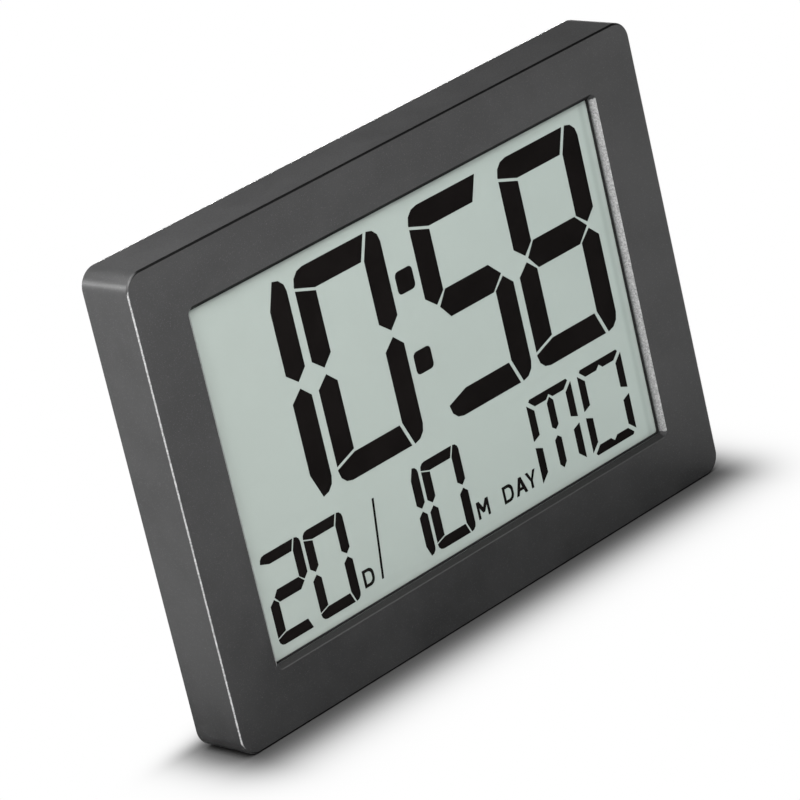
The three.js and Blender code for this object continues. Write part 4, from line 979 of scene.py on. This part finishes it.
class Shaper:
    """Turns outlines and CAD nodes into pieces."""

    merge_reach: float = 0.001 * MM
    sharp_angle: float = math.radians(34)
    normal_weight: int = 50
    capital_share: float = 0.73
    letter_swell: float = 0.012
    relief_slack: float = 0.02 * MM
    relief_digits: int = 6
    flat_angle: float = 0.01

    def piece(self, name: str, mesh: Mesh, body: Body, slot: str,
              material: Material) -> Piece:
        """Makes an object of a mesh and sets it on its body.

        Args:
            name: the piece's name.
            mesh: its mesh, in the row frame.
            body: the body that it rides on.
            slot: the record's material slot; it is not used.
            material: its finish.

        Returns:
            The piece.
        """
        mesh.materials.clear()
        mesh.materials.append(material)
        made = show(name, mesh)
        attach(made, body.value)
        return made

    def raised(self, name: str, outlines: Sequence[Outline], front: float,
               back: float) -> Mesh:
        """Gives flat outlines a thickness.

        Args:
            name: the mesh's name.
            outlines: closed outlines in the x, z plane, in metres.
            front: the y of the shown side.
            back: the y of the hidden side.

        Returns:
            The mesh.
        """
        shape = bmesh.new()
        for outline in outlines:
            near = [shape.verts.new((x, front, z)) for x, z in outline]
            far = [shape.verts.new((x, back, z)) for x, z in outline]
            shape.faces.new(near)
            shape.faces.new(far[::-1])
            for index in range(len(outline)):
                follow = (index + 1) % len(outline)
                shape.faces.new((near[index], far[index], far[follow], near[follow]))
        bmesh.ops.recalc_face_normals(shape, faces=shape.faces)
        return closed(name, shape)

    def relief(self, node: str, name: str, front: float, depth: float) -> Mesh:
        """Lifts the foremost faces of a CAD node to a new depth, with a thin edge.

        Args:
            node: the CAD node.
            name: the new mesh's name.
            front: the y that the faces get.
            depth: the thickness behind them.

        Returns:
            The mesh.
        """
        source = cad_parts[node].data
        foremost = min(vertex.co.y for vertex in source.vertices)
        shape = bmesh.new()
        found: dict[Point2, bmesh.types.BMVert] = {}
        for face in source.polygons:
            corners = [source.vertices[index].co for index in face.vertices]
            if any(corner.y > foremost + self.relief_slack for corner in corners):
                continue
            ring = []
            for corner in corners:
                key = tuple(round(part, self.relief_digits) for part in (corner.x, corner.z))
                if key not in found:
                    found[key] = shape.verts.new((corner.x, front, corner.z))
                ring.append(found[key])
            if len(set(ring)) == len(ring):
                shape.faces.new(ring)
        bmesh.ops.dissolve_limit(shape, angle_limit=self.flat_angle, verts=shape.verts,
                                 edges=shape.edges)
        rims = [edge.link_loops[0] for edge in shape.edges if edge.is_boundary]
        far = {near: shape.verts.new((near.co.x, front + depth, near.co.z))
               for near in list(shape.verts)}
        for face in list(shape.faces):
            shape.faces.new([far[near] for near in reversed(face.verts[:])])
        for rim in rims:
            near, follow = rim.vert, rim.link_loop_next.vert
            shape.faces.new((near, far[near], far[follow], follow))
        bmesh.ops.recalc_face_normals(shape, faces=shape.faces)
        return closed(name, shape)

    def words(self, name: str, text: str, centre: Vector, height: float, front: float,
              thickness: float) -> Mesh:
        """Sets a short legend on the back, to be read from behind.

        Args:
            name: the mesh's name.
            text: the legend.
            centre: its middle, of which x and z count.
            height: the height of its capitals.
            front: the y of its shown side.
            thickness: how thick the ink is.

        Returns:
            The mesh.
        """
        curve = bpy.data.curves.new(name, "FONT")
        curve.body = text
        curve.align_x = "CENTER"
        curve.align_y = "CENTER"
        curve.extrude = 0.5
        curve.offset = self.letter_swell
        holder = show(name, curve)
        bpy.context.view_layer.update()
        seen = holder.evaluated_get(bpy.context.evaluated_depsgraph_get())
        mesh = bpy.data.meshes.new_from_object(seen)
        bpy.data.objects.remove(holder)
        size = height / self.capital_share
        mesh.transform(Matrix(((-size, 0, 0, centre.x), (0, 0, thickness, front - thickness / 2),
                               (0, size, 0, centre.z), (0, 0, 0, 1))))
        mesh.name = name
        return mesh

    def soften(self, node: str) -> Piece:
        """Shades a CAD node smoothly over its rounds and keeps its real corners.

        Args:
            node: the CAD node.

        Returns:
            Its object.
        """
        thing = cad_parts[node]
        smooth = thing.modifiers.new("smooth_rounds", "NODES")
        smooth.node_group = self._smooth_group()
        weigh = thing.modifiers.new("weigh_normals", "WEIGHTED_NORMAL")
        weigh.keep_sharp = True
        weigh.weight = self.normal_weight
        return thing

    @cache
    def _smooth_group(self) -> Tree:
        """Builds the group that joins a node's faces and marks its edges sharp by angle.

        Returns:
            The group.
        """
        tree = bpy.data.node_groups.new("smooth_rounds", "GeometryNodeTree")
        for way in ("INPUT", "OUTPUT"):
            tree.interface.new_socket("Mesh", in_out=way, socket_type="NodeSocketGeometry")
        w = Wiring(tree)
        joined = w.fill(w.put("GeometryNodeMergeByDistance"), Distance=self.merge_reach,
                        Geometry=w.put("NodeGroupInput").outputs[0])
        bare = w.fill(w.put("GeometryNodeRemoveAttribute"), Geometry=joined.outputs[0])
        bare.inputs["Name"].default_value = "custom_normal"
        faces = w.fill(w.put("GeometryNodeSetShadeSmooth", domain="FACE"),
                       Geometry=bare.outputs[0], Shade_Smooth=True)
        sharp = w.put("FunctionNodeCompare", data_type="FLOAT", operation="GREATER_THAN")
        angle = w.put("GeometryNodeInputMeshEdgeAngle")
        w.feed(sharp.inputs[0], angle.outputs["Unsigned Angle"])
        w.feed(sharp.inputs[1], self.sharp_angle)
        edges = w.fill(w.put("GeometryNodeSetShadeSmooth", domain="EDGE"),
                       Geometry=faces.outputs[0], Selection=sharp.outputs[0], Shade_Smooth=False)
        w.feed(w.put("NodeGroupOutput").inputs[0], edges.outputs[0])
        return tree

    def dress(self, nodes: Iterable[str], finish: Finish, name: str,
              rounds: bool = True) -> list[Piece]:
        """Gives CAD nodes a finish.

        Args:
            nodes: the nodes' names.
            finish: their finish.
            name: the name of its material.
            rounds: True to shade their rounds smoothly.

        Returns:
            The nodes' objects.
        """
        material = finish.make(name)
        dressed = []
        for node in nodes:
            thing = self.soften(node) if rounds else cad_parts[node]
            for place in thing.material_slots:
                place.material = material
            dressed.append(thing)
        return dressed


SHAPER = Shaper()


# The clock's sub-assemblies


NATURAL_PLASTIC = MouldedPlastic((0.5, 0.5, 0.48), (0.6, 0.6, 0.58))
BACK_PLASTIC = MouldedPlastic(
    (0.022, 0.022, 0.023), (0.034, 0.034, 0.035), grain_scale=1700.0, grain_height=0.035 * MM,
    edge_round=0.3 * MM)


@dataclass
class CaseFront:
    """The front housing and the gasket behind its window."""

    plastic: MouldedPlastic = MouldedPlastic(
        (0.023, 0.023, 0.0235), (0.04, 0.04, 0.0405), roughness=0.4, flake_share=0.1,
        edges=FrontEdges())
    foam: SoftRubber = SoftRubber()

    def build(self) -> list[Piece]:
        """Dresses the housing and the gasket and returns them."""
        return (SHAPER.dress(["front_housing"], self.plastic, "case_plastic_finish")
                + SHAPER.dress(["window_gasket"], self.foam, "gasket_finish", rounds=False))


@dataclass(frozen=True)
class Lettering:
    """The small fixed letters of the date row, drawn with straight strokes.

    Dips, bars and forks are shares of a letter's height, the other parts count in strokes.
    """

    height: float = 7.3 * MM
    foot: float = 34.5 * MM
    stroke: float = 1.3 * MM
    round_of_d: float = 0.75
    quarter_turn: float = 90.0
    bend_steps: int = 6
    dip_of_m: float = 0.28
    half_dip_of_m: float = 0.45
    shoulder_of_m: float = 1.25
    valley_of_m: float = 1.7
    inside_of_m: float = 2.1
    bar_of_a: float = 0.24
    taper_of_a: float = 0.92
    half_top_of_a: float = 0.6
    leg_of_a: float = 1.15
    inside_of_a: float = 1.9
    fork_of_y: float = 0.42
    arm_of_y: float = 1.15
    crotch_of_y: float = 0.9
    row: tuple[tuple[str, float, float], ...] = (
        ("D", -57.75, -51.9), ("M", 6.5, 13.25), ("D", 21.4, 27.25),
        ("A", 28.4, 34.9), ("Y", 34.9, 40.75))

    @property
    def top(self) -> float:
        """Gives the height of the letters' tops."""
        return self.foot + self.height

    def outlines(self) -> list[Outline]:
        """Draws the whole row."""
        draw = {"D": self._d, "M": self._m, "A": self._a, "Y": self._y}
        return [outline for letter, left, right in self.row
                for outline in draw[letter](left * MM, right * MM)]

    def _d(self, left: float, right: float) -> list[Outline]:
        """Draws a D between its two sides.

        Args:
            left: the x of its left side.
            right: the x of its right side.

        Returns:
            Its outlines.
        """
        low, high, wide = self.foot, self.top, self.stroke
        outer = self._bowl(left, right, low, high)
        inner = self._bowl(left + wide, right - wide, low + wide, high - wide)
        follow = [*range(1, len(outer)), 0]
        return [(outer[i], outer[j], inner[j], inner[i]) for i, j in enumerate(follow)]

    def _bowl(self, left: float, right: float, low: float, high: float) -> list[Point2]:
        """Draws the outline of a D, square at its left and round at its right.

        Args:
            left: the x of its left side.
            right: the x of its right side.
            low: the z of its foot.
            high: the z of its top.

        Returns:
            The outline.
        """
        radius = min(right - left, (high - low) / 2) * self.round_of_d
        points = [(left, high), (left, low)]
        for start, centre in ((-self.quarter_turn, low + radius), (0, high - radius)):
            for step in range(self.bend_steps + 1):
                angle = math.radians(start + step * self.quarter_turn / self.bend_steps)
                points.append((right - radius + radius * math.cos(angle),
                               centre + radius * math.sin(angle)))
        return points

    def _m(self, left: float, right: float) -> list[Outline]:
        """Draws an M between its two sides.

        Args:
            left: the x of its left side.
            right: the x of its right side.

        Returns:
            Its outlines.
        """
        low, high, wide = self.foot, self.top, self.stroke
        middle = (left + right) / 2
        dip = low + (high - low) * self.dip_of_m
        shoulder, half = wide * self.shoulder_of_m, wide * self.half_dip_of_m
        inside = high - wide * self.inside_of_m
        return [[(left, low), (left, high), (left + shoulder, high),
                 (middle, dip + wide * self.valley_of_m), (right - shoulder, high), (right, high),
                 (right, low), (right - wide, low), (right - wide, inside), (middle + half, dip),
                 (middle - half, dip), (left + wide, inside), (left + wide, low)]]

    def _a(self, left: float, right: float) -> list[Outline]:
        """Draws an A between its two sides.

        Args:
            left: the x of its left side.
            right: the x of its right side.

        Returns:
            Its outlines.
        """
        low, high, wide = self.foot, self.top, self.stroke
        middle = (left + right) / 2
        bar = low + (high - low) * self.bar_of_a
        leg, half = wide * self.leg_of_a, wide * self.half_top_of_a
        inside = high - wide * self.inside_of_a
        run = [leg + (middle - left) / (high - low) * (level - low) * self.taper_of_a
               for level in (bar, bar + wide)]
        return [[(left, low), (middle - half, high), (middle, high), (middle, inside),
                 (left + run[1], bar + wide), (left + run[0], bar), (left + leg, low)],
                [(right, low), (right - leg, low), (right - run[0], bar),
                 (right - run[1], bar + wide), (middle, inside), (middle, high),
                 (middle + half, high)],
                [(left + run[0], bar), (left + run[1], bar + wide),
                 (right - run[1], bar + wide), (right - run[0], bar)]]

    def _y(self, left: float, right: float) -> list[Outline]:
        """Draws a Y between its two sides.

        Args:
            left: the x of its left side.
            right: the x of its right side.

        Returns:
            Its outlines.
        """
        low, high, wide = self.foot, self.top, self.stroke
        middle, half = (left + right) / 2, wide / 2
        fork, arm = low + (high - low) * self.fork_of_y, wide * self.arm_of_y
        return [[(left, high), (left + arm, high), (middle, fork + wide * self.crotch_of_y),
                 (right - arm, high), (right, high), (middle + half, fork),
                 (middle + half, low), (middle - half, low), (middle - half, fork)]]


@dataclass
class DisplayStack:
    """The display: its front film, the lit figures, the plates behind and their frame."""

    figure_front: float = -9.05 * MM
    figure_depth: float = 0.045 * MM
    letters: Lettering = Lettering()
    face: DisplayFace = DisplayFace()
    black: FigureBlack = FigureBlack()
    glass: ThinGlass = ThinGlass()
    strip: BandedRubber = BandedRubber()

    def build(self) -> list[Piece]:
        """Builds the figures and letters, and dresses the plates and their frame.

        Returns:
            The pieces.
        """
        made = SHAPER.dress(["front_polariser"], self.face, "display_face_finish", rounds=False)
        ink = self.black.make("figure_finish")
        figures = SHAPER.piece(
            "display_figures",
            SHAPER.relief("segment_layer", "display_figures", self.figure_front, self.figure_depth),
            Body.CASE, "segment_black", ink)
        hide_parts("segment_layer")
        letters = SHAPER.raised("display_letters", self.letters.outlines(), self.figure_front,
                                self.figure_front + self.figure_depth)
        made += [figures, SHAPER.piece("display_letters", letters, Body.CASE, "segment_black", ink)]
        for nodes, finish, name in (
                (("front_glass", "rear_glass"), self.glass, "plate_finish"),
                (("reflector",), self.face, "reflector_finish"),
                (("contact_strip",), self.strip, "strip_finish")):
            made += SHAPER.dress(nodes, finish, name, rounds=False)
        return made + SHAPER.dress(["display_retainer"], NATURAL_PLASTIC, "frame_finish")


@dataclass
class ControlBoard:
    """The circuit board with its parts, its leads and the switches behind the keys."""

    laminate: BoardLaminate = BoardLaminate()
    epoxy: SoftRubber = SoftRubber(
        colour=(0.01, 0.01, 0.011), other=(0.02, 0.02, 0.021), grain_height=0.01 * MM)
    can: RolledMetal = RolledMetal(colour=(0.7, 0.7, 0.69), tarnish=(0.55, 0.54, 0.51))
    switch_plastic: MouldedPlastic = MouldedPlastic((0.02, 0.02, 0.021), (0.03, 0.03, 0.031))
    red: Sleeve = Sleeve()
    black: Sleeve = Sleeve(colour=(0.012, 0.012, 0.012), other=(0.013, 0.013, 0.013))

    def build(self) -> list[Piece]:
        """Dresses the board, its parts and the leads.

        Returns:
            The pieces.
        """
        made = SHAPER.dress(["main_board"], self.laminate, "board_finish", rounds=False)
        for nodes, finish, name in (
                (["controller_chip"], self.epoxy, "chip_finish"),
                (["clock_crystal", "capacitor"], self.can, "can_finish"),
                (nodes_with("_switch_body"), self.switch_plastic, "switch_finish"),
                (nodes_with("_plunger"), NATURAL_PLASTIC, "plunger_finish"),
                (["red_lead"], self.red, "red_finish"),
                (["black_lead"], self.black, "black_finish")):
            made += SHAPER.dress(nodes, finish, name)
        return made


@dataclass
class SettingKeys:
    """The four setting keys and the legends printed above them."""

    legends: tuple[tuple[str, str], ...] = (
        ("mode", "MODE"), ("set", "SET"), ("up", "+"), ("down", "−"))
    legend_height: float = 2.6 * MM
    symbol_scale: float = 1.5
    legend_rise: float = 7.0 * MM
    ink_thickness: float = 0.04 * MM
    plastic: MouldedPlastic = MouldedPlastic(
        (0.2, 0.204, 0.208), (0.26, 0.265, 0.27), roughness=0.46, edge_round=0.35 * MM)
    ink: PadInk = PadInk()

    def build(self) -> list[Piece]:
        """Dresses the keys and prints their legends.

        Returns:
            The pieces.
        """
        made = SHAPER.dress(nodes_with("_button"), self.plastic, "key_finish")
        ink = self.ink.make("legend_finish")
        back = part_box("rear_cover")[1].y
        for key, text in self.legends:
            low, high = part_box(f"{key}_button")
            centre = (low + high) / 2
            centre.z += self.legend_rise
            name = f"{key}_legend"
            height = self.legend_height * (self.symbol_scale if len(text) == 1 else 1.0)
            mesh = SHAPER.words(name, text, centre, height,
                                back + self.ink_thickness / 2, self.ink_thickness)
            made.append(SHAPER.piece(name, mesh, Body.CASE, "back_plastic", ink))
        return made


@dataclass
class BatteryBay:
    """The two cells, the contacts and springs that hold them, and the lid over them."""

    jacket: CellJacket = CellJacket()
    steel: RolledMetal = RolledMetal()

    def build(self) -> list[Piece]:
        """Dresses the cells, the metal and the lid.

        Returns:
            The pieces.
        """
        made = []
        for node in ("upper_cell", "lower_cell"):
            low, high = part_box(node)
            fitted = replace(self.jacket, low_end=low.x, high_end=high.x,
                             positive_high=node == "upper_cell")
            made += SHAPER.dress([node], fitted, f"{node}_finish")
        made += SHAPER.dress(["positive_contact", "negative_contact", "bridge_contact",
                              "negative_spring", "bridge_spring"], self.steel, "contact_finish")
        return made + SHAPER.dress(["battery_lid"], BACK_PLASTIC, "lid_finish")


@dataclass
class RearShell:
    """The rear cover with its screws, and the stand that folds out of it."""

    screw: RolledMetal = RolledMetal(
        colour=(0.45, 0.45, 0.45), tarnish=(0.3, 0.3, 0.31), roughness=0.32)

    def build(self) -> list[Piece]:
        """Dresses the cover, the stand and the screws and returns them."""
        return (SHAPER.dress(["rear_cover", "stand_leg"], BACK_PLASTIC, "back_finish")
                + SHAPER.dress(nodes_with("_screw_"), self.screw, "screw_finish"))


# The studio


@dataclass
class Camera:
    """The camera, placed by fitting the clock's front edges in perspective."""

    place: Point3 = (-1.12404, -1.30277, 0.72291)
    right: Point3 = (0.68856, -0.69239, -0.21561)
    up: Point3 = (0.39293, 0.10631, 0.9134)
    lens: float = 212.96
    sensor: float = 36.0
    clip: Span = (0.1, 20.0)

    def build(self) -> None:
        """Makes the camera and makes it the scene's own."""
        data = bpy.data.cameras.new("camera")
        data.lens = self.lens
        data.sensor_width = self.sensor
        data.clip_start, data.clip_end = self.clip
        right = Vector(self.right).normalized()
        back = right.cross(Vector(self.up)).normalized()
        camera = show("camera", data)
        camera.matrix_world = Matrix.Translation(Vector(self.place)) @ Matrix(
            (right, back.cross(right), back)).transposed().to_4x4()
        bpy.context.scene.camera = camera


@dataclass
class Lamp:
    """One soft rectangular lamp."""

    name: str
    place: Point3
    size: Span
    power: float
    aim: Point3 = (-0.1, 0.0, 0.17)

    def build(self) -> None:
        """Makes the lamp and turns it to its aim."""
        data = bpy.data.lights.new(self.name, "AREA")
        data.shape = "RECTANGLE"
        data.size, data.size_y = self.size
        data.energy = self.power
        lamp = show(self.name, data)
        lamp.location = Vector(self.place)
        lamp.rotation_mode = "QUATERNION"
        away = Vector(self.place) - Vector(self.aim)
        lamp.rotation_quaternion = away.to_track_quat("Z", "Y")
        lamp.visible_camera = False


@dataclass
class Studio:
    """The floor, the lamps and the plain light round the clock."""

    floor_reach: float = 3.0
    floor_sides: int = 96
    floor: StudioFloor = StudioFloor()
    lamps: tuple[Lamp, ...] = (
        Lamp("key_lamp", (-0.45, -0.25, 0.5), (0.2, 0.2), 1.9),
        Lamp("front_lamp", (-0.3, -0.35, 0.5), (0.2, 0.2), 1.6),
        Lamp("top_lamp", (-0.22, 0.05, 0.42), (0.18, 0.18), 0.9),
        Lamp("back_lamp", (-0.75, 0.8, 0.5), (0.3, 0.2), 3.2, (-0.13, 0.0, 0.19)),
        Lamp("rear_lamp", (0.8, 1.1, 0.11), (0.5, 0.16), 11.0, (0.0, 0.0, 0.1)))
    low_light: float = 0.32
    horizon_light: float = 0.8
    ceiling_light: float = 0.15
    ceiling_angle: float = math.radians(16)

    def build(self) -> None:
        """Builds the floor, the lamps and the world."""
        shape = bmesh.new()
        bmesh.ops.create_circle(shape, cap_ends=True, segments=self.floor_sides,
                                radius=self.floor_reach)
        mesh = closed("floor", shape)
        mesh.materials.append(self.floor.make("floor_finish"))
        floor = show("floor", mesh)
        self._world()
        for lamp in self.lamps:
            lamp.build()

    def _world(self) -> None:
        """Lights the scene evenly, and shows plain white to the camera, gloss and glass."""
        world = bpy.data.worlds.new("studio")
        world.use_nodes = True
        world.node_tree.nodes.clear()
        w = Wiring(world.node_tree)
        path = w.put("ShaderNodeLightPath").outputs
        shown = w.maths("MAXIMUM", path["Is Camera Ray"], path["Is Glossy Ray"])
        shown = w.maths("MAXIMUM", shown, path["Is Transmission Ray"])
        height = w.axes(w.put("ShaderNodeTexCoord").outputs["Generated"])[2]
        upper = w.span(height, 0.0, math.sin(self.ceiling_angle), self.horizon_light,
                       self.ceiling_light)
        mirrored = w.maths("MAXIMUM", upper, path["Is Camera Ray"])
        plain = w.maths("MULTIPLY", w.maths("SUBTRACT", 1.0, shown), self.low_light)
        light = w.fill(w.put("ShaderNodeBackground"), Color=(1.0, 1.0, 1.0),
                       Strength=w.maths("MULTIPLY_ADD", shown, mirrored, plain))
        w.fill(w.put("ShaderNodeOutputWorld"), Surface=light.outputs[0])
        bpy.context.scene.world = world


def main() -> None:
    """Builds the clock's sub-assemblies in order, then the studio round it."""
    logging.basicConfig(level=logging.INFO, format="%(name)s: %(message)s")
    Camera().build()
    for part in (CaseFront(), DisplayStack(), ControlBoard(), SettingKeys(), BatteryBay(),
                 RearShell()):
        for piece in part.build():
            LOG.info("%s: %s", type(part).__name__, piece.name)
    Studio().build()
    bpy.context.scene.view_settings.view_transform = "Standard"
    bpy.context.view_layer.update()


if __name__ == "__main__":
    main()
